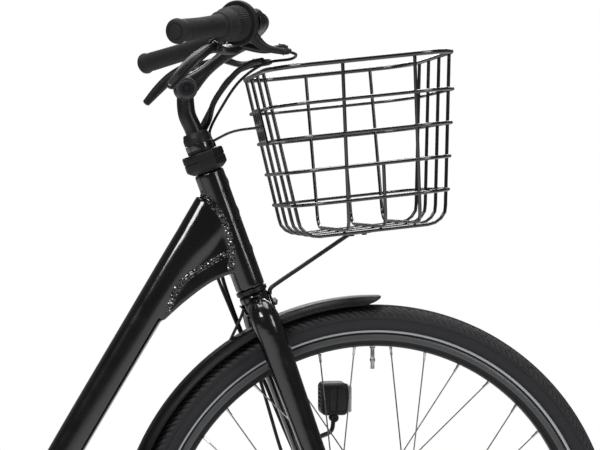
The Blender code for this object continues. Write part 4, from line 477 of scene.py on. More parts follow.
MAT = {
    "frame_paint": simple("gloss_black_lacquer", (0.0026, 0.0026, 0.0029), 0.18, coat=0.8, coat_rough=0.05,
                          grain=75.0, relief=0.3, depth=0.00035, spread=0.08, cell=26.0, dust=0.02),
    "guard_paint": simple("satin_black_guard", (0.005, 0.005, 0.0055), 0.42, gloss=0.18,
                          grain=700.0, relief=0.15, dust=0.03),
    "basket_paint": simple("black_powder_coat", (0.003, 0.003, 0.0033), 0.2, coat=1.0, coat_rough=0.05,
                           gloss=0.5,
                           grain=900.0, relief=0.05, depth=0.0002),
    "satin_metal": simple("satin_black_metal", (0.0055, 0.0055, 0.006), 0.34, coat=0.25, coat_rough=0.2,
                          grain=1100.0,
                          relief=0.18, dust=0.02),
    "dark_metal": simple("dark_anodised", (0.026, 0.026, 0.029), 0.36, metal=0.8, grain=800.0, relief=0.12),
    "tooth_steel": simple("serrated_steel", (0.1, 0.1, 0.105), 0.3, metal=1.0, tint=0.3, grain=500.0),
    "bright_steel": simple("stainless_steel", (0.36, 0.37, 0.38), 0.3, metal=1.0, tint=0.15, grain=500.0,
                           relief=0.1, stretch=(1, 6, 1)),
    "black_plastic": simple("grained_black_plastic", (0.0075, 0.0075, 0.008), 0.46, grain=1400.0,
                            relief=0.35, depth=0.0003, dust=0.03),
    "grip_rubber": simple("matt_rubber", (0.0105, 0.0105, 0.0115), 0.62, grain=1600.0, relief=0.4,
                          depth=0.0004, dust=0.05),
    "cable_rubber": simple("cable_sleeve", (0.005, 0.005, 0.0055), 0.36, grain=700.0, relief=0.12),
    "saddle_skin": simple("saddle_leather", (0.012, 0.012, 0.013), 0.55, grain=520.0, relief=0.55,
                          depth=0.0006, cell=30.0, sheen=0.15, dust=0.03),
    "lamp_lens": simple("lamp_lens_glass", (0.34, 0.36, 0.38), 0.1, coat=1.0, grain=160.0, relief=0.6,
                        depth=0.001),
    "red_lens": simple("red_lens_plastic", (0.36, 0.01, 0.01), 0.16, coat=1.0, grain=240.0, relief=0.5,
                       depth=0.0008),
    "rim_metal": rim_material("front_rim_black", XF),
    "tyre_rubber": tyre_material("front_tyre_rubber", XF),
}
REAR_RIM = rim_material("rear_rim_black", XR)
REAR_TYRE = tyre_material("rear_tyre_rubber", XR)
TREAD = simple("tread_rubber", (0.023, 0.023, 0.025), 0.58, tint=0.25, cell=40.0, grain=1500.0, relief=0.3,
               depth=0.0003, dust=0.06)
WELD_PAINT = simple("lacquer_on_welds", (0.0024, 0.0024, 0.0027), 0.06, coat=1.0, coat_rough=0.02, gloss=1.0,
                    spread=0.02, grain=300.0, relief=0.1, depth=0.0002)
NIPPLE = simple("nickel_nipples", (0.5, 0.51, 0.52), 0.24, metal=1.0, tint=0.15, grain=900.0)
SPOKE_STEEL = simple("spoke_steel", (0.22, 0.225, 0.23), 0.28, metal=1.0, tint=0.15, grain=900.0)


# Carried-over nodes get their finish and rounded shading


def shading_group():
    """Joins the triangles' corners again and smooths all but the sharp edges."""
    tree = bpy.data.node_groups.new("rounded_shading", "GeometryNodeTree")
    tree.interface.new_socket("Geometry", in_out="INPUT", socket_type="NodeSocketGeometry")
    tree.interface.new_socket("Geometry", in_out="OUTPUT", socket_type="NodeSocketGeometry")
    start = tree.nodes.new("NodeGroupInput")
    end = tree.nodes.new("NodeGroupOutput")
    merge = tree.nodes.new("GeometryNodeMergeByDistance")
    merge.inputs["Distance"].default_value = 0.00001
    drop = tree.nodes.new("GeometryNodeRemoveAttribute")
    drop.inputs["Name"].default_value = "custom_normal"
    faces = tree.nodes.new("GeometryNodeSetShadeSmooth")
    edges = tree.nodes.new("GeometryNodeSetShadeSmooth")
    edges.domain = "EDGE"
    edges.inputs["Shade Smooth"].default_value = False
    angle = tree.nodes.new("GeometryNodeInputMeshEdgeAngle")
    sharp = tree.nodes.new("FunctionNodeCompare")
    sharp.operation = "GREATER_THAN"
    sharp.inputs[1].default_value = radians(36)
    tree.links.new(start.outputs[0], merge.inputs["Geometry"])
    tree.links.new(merge.outputs[0], drop.inputs["Geometry"])
    tree.links.new(drop.outputs[0], faces.inputs["Geometry"])
    tree.links.new(faces.outputs[0], edges.inputs["Geometry"])
    tree.links.new(angle.outputs["Unsigned Angle"], sharp.inputs[0])
    tree.links.new(sharp.outputs[0], edges.inputs["Selection"])
    tree.links.new(edges.outputs[0], end.inputs[0])
    return tree


ROUNDED = shading_group()
SLOTS = {sub["node"]: sub["material_slot"] for sub in frame["record"]["subparts"]}
for node_name, node in frame["nodes"].items():
    finish = MAT[SLOTS[node_name]]
    if node_name == "rear_rim":
        finish = REAR_RIM
    if node_name == "rear_tyre":
        finish = REAR_TYRE
    for holder in node.material_slots:
        holder.material = finish
    if not node.material_slots:
        node.data.materials.append(finish)
    mod = node.modifiers.new("rounded", "NODES")
    mod.node_group = ROUNDED
    mod = node.modifiers.new("eased_edges", "BEVEL")
    mod.width = 0.0006
    mod.segments = 2
    mod.limit_method = "ANGLE"
    mod.angle_limit = radians(38)


# Wheels


def tread_band(crown, hub_x):
    """Tread as a closed band: slanted cuts to both sides of a middle rib with a groove on each flank."""
    rows = [Vector((r, 0, y)) for r, y in crown]
    count = TREAD_CUTS * CUT_STEPS
    middle = len(rows) // 2
    rings = []
    for j, row in enumerate(rows):
        from_middle = abs(j - middle)
        ring = []
        for i in range(count):
            cut = (i + from_middle) % CUT_STEPS == 0 and from_middle > 2
            cut = cut or from_middle == 2
            cut = cut or (from_middle > 3 and (i - from_middle) % (CUT_STEPS * 4) == 0)
            drop = TREAD_DEPTH if cut or from_middle == middle else 0.0
            ring.append(around(hub_x, row.x - drop, 2 * pi * i / count, row.z))
        rings.append(ring)
    for row in (rows[-1], rows[middle], rows[0]):
        rings.append([around(hub_x, row.x - 0.0036, 2 * pi * i / count, row.z * 0.98) for i in range(count)])
    return loft(rings, closed=True)


def wheel(prefix, hub_x, body, hole_r, flange_y, lacing, finishes):
    centre = (hub_x, 0, HUB_Z)
    rim_mat, tyre_mat = finishes
    wide_r = (RIM_R + TYRE_R) / 2
    bead = RIM_HALF_W - 0.0022
    half = smooth_path([(BEAD_R + 0.0005, 0, bead - 0.0004), (RIM_R + 0.0008, 0, bead + 0.0006),
                        (wide_r - 0.0095, 0, TYRE_HALF_W * 0.88), (wide_r + 0.0015, 0, TYRE_HALF_W),
                        (wide_r + 0.011, 0, TYRE_HALF_W * 0.86), (TYRE_R - 0.0042, 0, TYRE_HALF_W * 0.53),
                        (TYRE_R, 0, 0.0)], 5)
    crown = [(p.x, p.z) for p in half] + [(p.x, -p.z) for p in reversed(half[:-1])]
    under = [(r - TREAD_DEPTH * 0.36 if r > TREAD_R else r, y) for r, y in crown]
    piece(prefix + "_tyre_round", lathe(under, centre, steps=192), tyre_mat, body,
          [prefix + "_tyre"], slot="tyre_rubber")
    piece(prefix + "_tread", tread_band([p for p in crown if p[0] > TREAD_R - 0.0006], hub_x), TREAD, body,
          angle=24, slot="tyre_rubber")
    inner = RIM_R - RIM_DEPTH
    flange = 0.0022
    half = [(inner, 0.0), (inner + 0.0002, 0.003), (inner + 0.0012, 0.0068),
            (inner + 0.006, RIM_HALF_W - 0.0006),
            (inner + 0.007, RIM_HALF_W), (RIM_R - 0.0012, RIM_HALF_W), (RIM_R, RIM_HALF_W - 0.0008),
            (RIM_R, RIM_HALF_W - 0.0018), (BEAD_R, RIM_HALF_W - flange)]
    profile = half + [(r, -y) for r, y in reversed(half[1:])]
    piece(prefix + "_rim_round", lathe(profile, centre, steps=168), rim_mat, body, [prefix + "_rim"],
          slot="rim_metal")
    spokes, nipples = [], []
    pitch = 2 * pi / SPOKES
    for i in range(SPOKES):
        rim_angle = (i + 0.5) * pitch
        side = 1 if i % 2 else -1
        lead = 1 if ((i + 1) // 2) % 2 else -1
        hub_angle = rim_angle + lead * lacing * pitch
        out = side * flange_y + SPOKE_SPREAD * lead
        start = around(hub_x, hole_r, hub_angle, out)
        end = around(hub_x, inner - 0.0002, rim_angle, side * 0.002)
        run = (end - start).normalized()
        neck = end - run * 0.012
        spokes.append(sweep([start, neck + run * 0.002], 0.001, sides=8))
        nipples.append(sweep([neck - run * 0.0004, neck, neck + run * 0.0075, neck + run * 0.0085, end],
                             [0.0013, 0.0018, 0.0018, 0.0022, 0.0022], sides=8))
        spokes.append(lathe(disc(0.0019, -0.001, 0.001), start, steps=8))
    piece(prefix + "_spokes", gathered(spokes), SPOKE_STEEL, body, slot="bright_steel")
    piece(prefix + "_nipples", gathered(nipples), NIPPLE, body, slot="bright_steel")


def hub_shell(name, hub_x, body_r, flange_r, half_w, flange_y, finish, body, stands_for):
    """Turned hub: two spoke flanges with a bead at their edges, a barrel and stepped end covers."""
    low, high = flange_y - 0.0025, flange_y + 0.0025
    half = [(0.0055, half_w), (body_r * 0.3, half_w), (body_r * 0.34, half_w - 0.0016),
            (body_r * 0.55, half_w - 0.0022),
            (body_r * 0.6, half_w - 0.0004), (body_r * 0.78, half_w - 0.003), (body_r * 0.92, high + 0.0022),
            (flange_r - 0.0065, high + 0.0004), (flange_r - 0.0012, high), (flange_r, high - 0.001),
            (flange_r, low + 0.001), (flange_r - 0.0012, low), (body_r + 0.0012, low - 0.0004),
            (body_r, low - 0.002), (body_r, 0.004), (body_r + 0.0006, 0.0)]
    profile = half + [(r, -y) for r, y in reversed(half[:-1])]
    piece(name, lathe(profile, (hub_x, 0, HUB_Z), steps=72), finish, body, stands_for, angle=30)


wheel("front", XF, "front_wheel", MOTOR_FLANGE_R - HOLE_INSET, FLANGE_Y_HUB, 4,
      (MAT["rim_metal"], MAT["tyre_rubber"]))
wheel("rear", XR, "rear_wheel", GEAR_FLANGE_R - HOLE_INSET, FLANGE_Y_HUB, 6, (REAR_RIM, REAR_TYRE))
hub_shell("front_hub_shell", XF, MOTOR_R, MOTOR_FLANGE_R, MOTOR_HALF_W, FLANGE_Y_HUB, "satin_metal",
          "front_wheel", ["front_motor_hub"])
hub_shell("rear_hub_shell", XR, GEAR_HUB_R, GEAR_FLANGE_R, GEAR_HALF_W, FLANGE_Y_HUB, "dark_metal",
          "rear_wheel", ["rear_gear_hub"])


# Frame and fork


def frame_skin():
    """Main tubes, run together with soft welds."""
    along = Vector((0.5103, 0, 0.86))
    square = Vector((0.86, 0, -0.5103))
    top_edge = rel(-0.354, 0.7021)
    stations = [(rel(-0.64, 0.292), 0.045, 0.05), (rel(-0.588, 0.312), 0.045, 0.05),
                (rel(-0.533, 0.358), 0.045, 0.049), (rel(-0.486, 0.426), 0.0452, 0.048)]
    for run, deep, wide in ((-0.222, 0.0456, 0.047), (0.0, 0.0463, 0.047), (0.06, 0.048, 0.047),
                            (0.1158, 0.0546, 0.046), (0.152, 0.065, 0.044), (0.1965, 0.072, 0.04)):
        stations.append((top_edge + along * run + square * (deep / 2), deep, wide))
    path = smooth_path([s[0] for s in stations], 5)
    deep = [v / 2 for v in smooth_values([s[1] for s in stations], 5)]
    wide = [v / 2 for v in smooth_values([s[2] for s in stations], 5)]
    lower = smooth_path([rel(-0.302, 0.696), rel(-0.27, 0.724), rel(-0.233, 0.7505),
                         rel(-0.194, 0.7662)], 6)
    upper = [rel(-0.19, 0.8), rel(-0.205, 0.823), rel(-0.255, 0.785), rel(-0.306, 0.706)]
    axis_low, axis_high = steer_point(HEAD_LOW_Z), steer_point(HEAD_TOP_Z)
    parts = [
        sweep(path, wide, 28, deep, 2.6),
        sweep([axis_low, axis_high], HEAD_R, 40),
        slab([(p.x, p.z) for p in lower + upper], -GUSSET_HALF_W, GUSSET_HALF_W),
        sweep([seat_point(BB_Z), seat_point(0.66)], 0.0175, 36),
        lathe(disc(0.0225, -0.0365, 0.0365), (XB, 0, BB_Z), steps=40),
        sweep([rel(-0.5, 0.402), seat_point(0.452)], 0.014, 24),
        block((-0.148, -0.0385, 0.285), (-0.112, 0.0385, 0.294)),
        block((-0.146, -0.02, 0.238), (-0.114, 0.02, 0.289)),
    ]
    for z in (0.887, 0.8455, 0.7925):
        parts.append(sweep([steer_point(z, HEAD_R - 0.002), steer_point(z, HEAD_R + 0.0012)], 0.0042, 12))
    for side in (1, -1):
        parts.append(chain_stay(side))
        parts.append(seat_stay(side))
    return melted(gathered(parts), 0.0021, 12)


def chain_stay(side):
    points = [(XB + 0.004, 0.0282, BB_Z - 0.001), (XB - 0.026, 0.0286, BB_Z),
              (XB - 0.062, 0.036, BB_Z + 0.004),
              (XB - 0.11, 0.0395, BB_Z + 0.012), (XR + 0.22, 0.048, BB_Z + 0.034),
              (XR + 0.1, 0.062, HUB_Z - 0.016), (XR + 0.02, STAY_Y, HUB_Z - 0.005)]
    points = [Vector((x, side * y, z)) for x, y, z in points]
    return sweep(smooth_path(points, 4), smooth_values([0.0075] * 6 + [0.003], 4), 16,
                 smooth_values([0.012, 0.012, 0.012, 0.0115, 0.0105, 0.009, 0.008], 4))


def seat_stay(side):
    top = seat_point(0.622)
    foot = Vector((XR + 0.006, side * STAY_Y, HUB_Z + 0.022))
    span = top - foot
    points = [foot]
    for t, y in ((0.25, 0.062), (0.55, 0.052), (0.82, 0.0425), (0.95, 0.026)):
        p = foot + span * t
        points.append(Vector((p.x, side * y, p.z)))
    points.append(Vector((top.x, side * 0.004, top.z)))
    wide = [0.003, 0.007, 0.0075, 0.008, 0.0085, 0.009]
    deep = [0.008] + wide[1:]
    return sweep(smooth_path(points, 4), smooth_values(wide, 4), 16, smooth_values(deep, 4))


def weld_scales(skin):
    """Small overlapping scales of the welds, laid on the skin's own surface on both sides."""
    tree = BVHTree.FromBMesh(skin)
    seams = [smooth_path([rel(-0.2464, 0.8784), rel(-0.2222, 0.8482), rel(-0.2101, 0.8211),
                          rel(-0.2042, 0.7939),
                          rel(-0.207, 0.7697)], 14),
             smooth_path([rel(-0.2042, 0.7945), rel(-0.2343, 0.7788), rel(-0.2676, 0.7575),
                          rel(-0.2857, 0.7364),
                          rel(-0.2948, 0.7091)], 16)]
    scales = []
    for seam in seams:
        for i, p in enumerate(seam):
            run = (seam[min(i + 1, len(seam) - 1)] - seam[max(i - 1, 0)]).normalized()
            cross = Vector((run.z, 0, -run.x))
            for row in (-1, 0, 1):
                spread = noise.noise(Vector((i * 0.83, row * 2.1, 0.4)))
                if spread < -0.22:
                    continue
                spot = p + cross * (0.003 * row + 0.0012 * spread) + run * (0.0012 * row)
                for side in (1, -1):
                    hit, normal, _, _ = tree.ray_cast(Vector((spot.x, side * 0.08, spot.z)),
                                                      Vector((0, -side, 0)))
                    if hit is None:
                        continue
                    bm = bmesh.new()
                    bmesh.ops.create_icosphere(bm, subdivisions=1, radius=0.0019 + 0.0014 * spread)
                    lean = Matrix.Rotation(2.4 * i + 1.1 * row, 3,
                                           "Z") @ Matrix.Rotation(0.5 * i + 0.9 * row, 3, "X")
                    bmesh.ops.rotate(bm, verts=bm.verts, matrix=lean)
                    turn = Vector((0, 0, 1)).rotation_difference(normal).to_matrix().to_4x4()
                    bmesh.ops.scale(bm, verts=bm.verts, vec=(1.0, 1.0, 0.75))
                    bmesh.ops.transform(bm, matrix=Matrix.Translation(hit) @ turn, verts=bm.verts)
                    scales.append(bm)
    return gathered(scales)


skin = frame_skin()
piece("frame_weld_scales", weld_scales(skin), WELD_PAINT, "frame", angle=8, slot="frame_paint")
piece("frame_skin", skin, "frame_paint", "frame", ["frame"], angle=60)
dropouts = []
for side in (1, -1):
    low, high = sorted((side * 0.0678, side * 0.0735))
    dropouts.append(slab([(XR - 0.016, HUB_Z - 0.016), (XR + 0.006, HUB_Z - 0.021),
                          (XR + 0.03, HUB_Z - 0.016),
                          (XR + 0.034, HUB_Z - 0.004), (XR + 0.017, HUB_Z + 0.016),
                          (XR + 0.013, HUB_Z + 0.033),
                          (XR - 0.02, HUB_Z + 0.036), (XR - 0.024, HUB_Z + 0.014)], low, high))
piece("rear_dropouts", gathered(dropouts), "frame_paint", "frame", edge=0.0008)

crown = HEAD_LOW_Z - 0.0076
blades = [lathe([(0, -0.026 / STEER_DIR.z), (0.02, -0.026 / STEER_DIR.z), (0.021, -0.004), (0.02, 0.0),
                 (0.0143, 0.0), (0.0143, 0.03), (0, 0.03)], steer_point(crown), STEER_DIR, 40)]
for side in (1, -1):
    crown_z = crown - 0.018
    points = [steer_point(crown_z, 0, side * 0.006), steer_point(crown_z, 0, side * 0.03),
              steer_point(crown_z - 0.007, 0, side * 0.0455), steer_point(crown_z - 0.026, 0, side * 0.052),
              steer_point(0.64, 0, side * 0.052), steer_point(0.56, 0, side * 0.052),
              steer_point(0.47, 0, side * 0.056), steer_point(0.43, 0.002, side * 0.059),
              Vector((XF - 0.044, side * 0.0585, 0.395)), Vector((XF - 0.01, side * 0.0585, HUB_Z + 0.01))]
    wide = [0.0135, 0.015, 0.0178, 0.0195, 0.0172, 0.0155, 0.0138, 0.0128, 0.0112, 0.01]
    oval = (0.0, 0.0, 0.001, 0.002, 0.0032, 0.003, 0.0027, 0.002, 0.001, 0.0)
    deep = [w + extra for w, extra in zip(wide, oval)]
    blades.append(sweep(smooth_path(points, 4), smooth_values(wide, 4), 24, smooth_values(deep, 4),
                        up=Vector((0, 0, 1))))
piece("fork_skin", melted(gathered(blades), 0.0016, 4), "frame_paint", "steering", ["fork"],
      angle=60)
tips = []
for side in (1, -1):
    low, high = sorted((side * 0.0503, side * 0.056))
    tips.append(slab([(XF - 0.026, HUB_Z + 0.006), (XF - 0.008, HUB_Z - 0.015), (XF + 0.008, HUB_Z - 0.015),
                      (XF + 0.016, HUB_Z - 0.004), (XF + 0.014, HUB_Z + 0.01), (XF - 0.004, HUB_Z + 0.024),
                      (XF - 0.022, HUB_Z + 0.03)], low, high))
tips.append(slab([(XF - 0.04, HUB_Z + 0.03), (XF - 0.06, HUB_Z + 0.02), (XF - 0.09, HUB_Z + 0.028),
                  (XF - 0.09, HUB_Z + 0.046), (XF - 0.066, HUB_Z + 0.062), (XF - 0.05, HUB_Z + 0.054)],
                 0.0503, 0.0553))
piece("fork_tips", gathered(tips), "frame_paint", "steering", edge=0.0008)


# Stem

PIVOT, CLAMP = rel(-0.2688, 1.0243), rel(-0.1832, 1.0978)
PIVOT_R, BARREL_HALF_W, CHEEK_W = 0.0165, 0.013, 0.006
CHEEK_OUT_Y = BARREL_HALF_W + CHEEK_W + 0.0003
LOW_COLLAR_TOP_Z, UP_COLLAR_TOP_Z = 0.9347, 0.9625
STEM_R = 0.0127


def stem_arm():
    run = (CLAMP - PIVOT).normalized()
    length = (CLAMP - PIVOT).length
    square = Vector((-run.z, 0, run.x))
    stations = [(-0.0162, 0.0015, 0.0), (-0.015, 0.006, 0.0), (-0.01, 0.013, 0.0), (0.0, 0.0166, 0.0),
                (0.014, 0.0138, 0.0006), (0.036, 0.0092, 0.0006), (0.06, 0.0086, 0.0006),
                (0.084, 0.011, 0.0), (length, 0.0168, 0.0), (length + 0.012, 0.013, 0.0),
                (length + 0.0168, 0.006, 0.0), (length + 0.0178, 0.0012, 0.0)]
    path = smooth_path([PIVOT + run * s + square * lift for s, _, lift in stations], 4)
    wide = smooth_values([0.015, 0.0186] + [CHEEK_OUT_Y] * 3 + [0.0155, 0.014, 0.016, 0.02, 0.02, 0.0186,
                                                                0.015], 4)
    deep = smooth_values([h for _, h, _ in stations], 4)
    reach = PIVOT_R + 0.0012
    slot = [(reach, -0.04)]
    slot += [(reach * cos(radians(a)), reach * sin(radians(a))) for a in range(0, 91, 10)]
    slot += [(0.0, 0.04), (-0.04, 0.04), (-0.04, -0.04)]
    cutter = slab([(PIVOT.x + x, PIVOT.z + z) for x, z in slot], -BARREL_HALF_W - 0.0003,
                  BARREL_HALF_W + 0.0003)
    bm = carved(sweep(path, wide, 44, deep, 3.0), cutter)
    split = slab([(CLAMP.x + x, CLAMP.z + z) for x, z in ((0.0, -0.001), (0.05, -0.001), (0.05, 0.001),
                                                         (0.0, 0.001))], -0.03, 0.03)
    turn = Matrix.Rotation(-atan(run.z / run.x), 4, "Y")
    bmesh.ops.transform(split, matrix=Matrix.Translation(CLAMP) @ turn @ Matrix.Translation(-CLAMP),
                        verts=split.verts)
    return carved(bm, split)


piece("stem_arm_shell", stem_arm(), "satin_metal", "bars", ["stem_arm"], edge=0.0007)
quill_path = [steer_point(LOW_COLLAR_TOP_Z + 0.0004), steer_point(UP_COLLAR_TOP_Z + 0.004),
              rel(-0.2662, 0.986),
              rel(-0.2688, 1.004), PIVOT - Vector((0, 0, 0.006))]
quill = [sweep(smooth_path(quill_path, 5), smooth_values([STEM_R, STEM_R, STEM_R, 0.0125, 0.0118], 5), 32),
         lathe(disc(PIVOT_R, -BARREL_HALF_W, BARREL_HALF_W, 0.0006), PIVOT, steps=56),
         sweep([steer_point(0.83), steer_point(LOW_COLLAR_TOP_Z + 0.004)], 0.0111, 24)]
piece("stem_quill_shell", melted(gathered(quill), 0.0009, 3), "satin_metal", "steering",
      ["stem_quill"], angle=60)
rings, caps = [], []
for side in (1, -1):
    out = Vector((0, side, 0))
    rings.append(toothed([(0.0104, 0.0004, 0), (0.0152, 0.0004, 0.0009), (0.0156, 0.001, 0.0011),
                          (0.0146, 0.0022, 0.0009), (0.0118, 0.0026, 0), (0.0104, 0.0024, 0)],
                         PIVOT + out * CHEEK_OUT_Y, out, 34, 6))
    caps.append(lathe([(0, 0.0004), (0.0103, 0.0004), (0.0103, 0.0026), (0.0096, 0.0033), (0.0062, 0.0035),
                       (0.0058, 0.0035), (0.0054, 0.0022), (0.0046, 0.0022), (0.0042, 0.003), (0, 0.0032)],
                      PIVOT + out * CHEEK_OUT_Y, out, 48))
piece("pivot_tooth_rings", gathered(rings), "tooth_steel", "bars", angle=25, slot="bright_steel")
piece("pivot_bolt_caps", gathered(caps), "dark_metal", "steering", ["stem_pivot_bolt"])


# Handlebar, grips, shifter and levers

BAR_STRAIGHT_Y, BAR_END_Y = 0.13, 0.292
CLAMP_IN_Y, CLAMP_OUT_Y = 0.1325, 0.1435
FLANGE_Y, BARREL_Y, GRIP_RIGHT_Y, GRIP_LEFT_Y = 0.161, 0.1705, 0.208, 0.16
GRIP_R, SHIFTER_R, SHIFTER_FLANGE_R = 0.0148, 0.024, 0.0305
BAR_SLEEVE_R = BAR_R + 0.0003


def bar_at(y):
    """Point of the drive-side grip end at a distance from the middle."""
    near = rel(-0.1853, 1.1091, -BAR_STRAIGHT_Y)
    far = rel(-0.3067, 1.08, -BAR_END_Y)
    return near + (far - near) * ((y - BAR_STRAIGHT_Y) / (BAR_END_Y - BAR_STRAIGHT_Y))


def flip(point, side):
    return Vector((point[0], -side * point[1], point[2]))


def on_bar(y_from, y_to, profile, steps, side=-1):
    a, b = flip(bar_at(y_from), side), flip(bar_at(y_to), side)
    return lathe(profile, a, b - a, steps)


def bar_length(y_from, y_to):
    return (bar_at(y_to) - bar_at(y_from)).length


def below_bar(y, out, side=-1):
    """A point beside the grip end, square to it and towards the fingers."""
    run = (bar_at(BAR_END_Y) - bar_at(BAR_STRAIGHT_Y)).normalized()
    fall = Vector((-0.35, 0.42, -0.84))
    fall = (fall - run * fall.dot(run)).normalized()
    return flip(bar_at(y) + fall * out, side)


def lever_axis(side):
    grip = below_bar(0.29, 0.0, side) - below_bar(0.18, 0.0, side)
    fall = below_bar(0.18, 1.0, side) - below_bar(0.18, 0.0, side)
    return fall.cross(grip).normalized()


def handlebar():
    right = smooth_path([CLAMP, CLAMP + Vector((0, -0.03, 0)), rel(-0.178, 1.103, -0.068),
                         rel(-0.1755, 1.108, -0.098), rel(-0.179, 1.1104, -0.119), bar_at(BAR_STRAIGHT_Y),
                         bar_at(0.15), bar_at(0.2), bar_at(BAR_END_Y - 0.003)], 6)
    return sweep(list(reversed(mirrored(right)))[:-1] + right, BAR_R, 36, up=Vector((0, 0, 1)))


def grip(y_from, side):
    """Rubber sleeve with a collar, shallow rings, a flared end and a ring groove round its end cap."""
    length = bar_length(y_from, BAR_END_Y)
    profile = [(0, 0.001), (GRIP_R + 0.0006, 0.0), (GRIP_R + 0.0015, 0.0008), (GRIP_R + 0.0016, 0.003),
               (GRIP_R + 0.0006, 0.0042)]
    rows = int((length - 0.022) / 0.0048)
    for k in range(rows):
        s = 0.0056 + 0.0048 * k
        belly = -0.0008 * sin(pi * k / rows)
        profile += [(GRIP_R + belly, s), (GRIP_R + belly, s + 0.0036), (GRIP_R - 0.0005 + belly, s + 0.004),
                    (GRIP_R - 0.0005 + belly, s + 0.0044)]
    profile += [(GRIP_R - 0.0002, length - 0.012), (GRIP_R + 0.001, length - 0.006),
                (GRIP_R + 0.0016, length - 0.003), (GRIP_R + 0.0012, length - 0.0008),
                (GRIP_R - 0.0004, length + 0.001), (0.0112, length + 0.002), (0.0104, length + 0.0012),
                (0.0096, length + 0.0012), (0.009, length + 0.0024), (0.006, length + 0.0032),
                (0, length + 0.0034)]
    return on_bar(y_from, BAR_END_Y, profile, 48, side)


def shifter_housing():
    """Flange of the twist shifter, with its cable horn run smoothly out of it."""
    length = bar_length(FLANGE_Y, BARREL_Y)
    flange = on_bar(FLANGE_Y, BARREL_Y, [
        (BAR_SLEEVE_R, 0.0), (SHIFTER_FLANGE_R - 0.0075, 0.0), (SHIFTER_FLANGE_R - 0.003, 0.0014),
        (SHIFTER_FLANGE_R - 0.0004, length * 0.45), (SHIFTER_FLANGE_R, length * 0.62),
        (SHIFTER_FLANGE_R - 0.0003, length - 0.001), (SHIFTER_FLANGE_R - 0.0012, length - 0.0003),
        (BAR_SLEEVE_R, length - 0.0003)], 72)
    horn = smooth_path([rel(-0.199, 1.093, -0.1645), rel(-0.187, 1.079, -0.1635), rel(-0.174, 1.07, -0.162),
                        rel(-0.156, 1.0662, -0.1608), rel(-0.1475, 1.0653, -0.1603)], 5)
    saddle = on_bar(FLANGE_Y - 0.012, FLANGE_Y,
                    [(BAR_SLEEVE_R, 0.0), (BAR_R + 0.0042, 0.0), (BAR_R + 0.0062, 0.0015),
                                                (BAR_R + 0.0075, 0.014), (BAR_SLEEVE_R, 0.014)], 48)
    return melted(gathered([flange, saddle,
                            sweep(horn, smooth_values([0.01, 0.0072, 0.0054, 0.0046, 0.0044], 5), 24)]),
                  0.0008, 3)


def lever_bracket(side):
    """Clamp, lever body and cable horn in one casting."""
    axis = lever_axis(side)
    root = below_bar(0.196, 0.0318, side)
    length = bar_length(CLAMP_IN_Y, CLAMP_OUT_Y)
    clamp = on_bar(CLAMP_IN_Y, CLAMP_OUT_Y, [
        (BAR_SLEEVE_R, 0.0), (BAR_R + 0.0045, 0.0), (BAR_R + 0.0055, 0.001),
        (BAR_R + 0.0055, length - 0.001),
        (BAR_R + 0.0045, length), (BAR_SLEEVE_R, length)], 44, side)
    body = [below_bar(y, out, side) for y, out in ((0.1375, 0.0155), (0.1385, 0.03), (0.145, 0.0405),
                                                   (0.162, 0.0415), (0.178, 0.039), (0.1875, 0.034))]
    horn = [below_bar(0.14, 0.036, side), flip(rel(-0.174, 1.069, -0.137), side),
            flip(rel(-0.15, 1.0732, -0.1394), side)]
    parts = [clamp,
             sweep(smooth_path(body, 5), smooth_values([0.0052, 0.0066, 0.0078, 0.0078, 0.0076, 0.0072], 5),
                   24,
                   smooth_values([0.0052, 0.0062, 0.0062, 0.006, 0.0056, 0.0044], 5), 2.4, up=axis),
             sweep(smooth_path(horn, 5), smooth_values([0.006, 0.0048, 0.0042], 5), 20)]
    for hand in (1, -1):
        parts.append(lathe(disc(0.0068, *sorted((hand * 0.0058, hand * 0.0086))),
                           root, axis, 28))
        shift = axis * (hand * 0.0072)
        parts.append(sweep([below_bar(0.182, 0.0368, side) + shift, root + shift], 0.0015, 12, [0.006] * 2,
                           4.0,
                           up=axis))
    return melted(gathered(parts), 0.0008, 3)


def adjuster(tip, run):
    """Ribbed barrel adjuster, its lock ring and the cable's end ferrule."""
    return [toothed([(0.001, 0.0, 0), (0.0043, 0.0, 0.0004), (0.0045, 0.001, 0.0006),
                     (0.0045, 0.0062, 0.0006),
                     (0.0038, 0.0072, 0.0), (0.0034, 0.0078, 0.0), (0.001, 0.0078, 0)], tip, run, 16, 4),
            lathe([(0, -0.0016), (0.005, -0.0016), (0.0052, -0.0012), (0.0052, -0.0004), (0.005, 0.0),
                   (0, 0.0)],
                  tip, run, 24),
            lathe([(0, 0.007), (0.0031, 0.007), (0.0031, 0.01), (0.0026, 0.0106), (0, 0.0106)], tip, run,
                  20)]


def lever_blade(side):
    """Blade with a shallow groove down its middle and a rounded tip, and its barrel at the hinge."""
    axis = lever_axis(side)
    points = [below_bar(y, out, side) for y, out in ((0.196, 0.0318), (0.211, 0.037), (0.227, 0.048),
                                                     (0.242, 0.065), (0.256, 0.086))]
    tip = points[-1] + (points[-1] - points[-2]).normalized() * 0.0016
    path = smooth_path(points, 8) + [tip]
    wide = smooth_values([0.0048, 0.0075, 0.009, 0.0085, 0.0062], 8) + [0.003]
    deep = smooth_values([0.0055, 0.004, 0.0036, 0.0034, 0.003], 8) + [0.0014]
    bm = sweep(path, wide, 40, deep, 2.4, up=axis)
    away = axis.cross((points[1] - points[0]).normalized())
    for sign in (1, -1):
        line = [p + away * (sign * d * 1.12) for p, d in zip(path[4:-6], deep[4:-6])]
        bm = carved(bm, sweep(line, 0.0011, 10, [0.0011] * len(line), up=axis))
    return gathered([bm, lathe(disc(0.0056, -0.0054, 0.0054, 0.0006), points[0], axis, 28)])


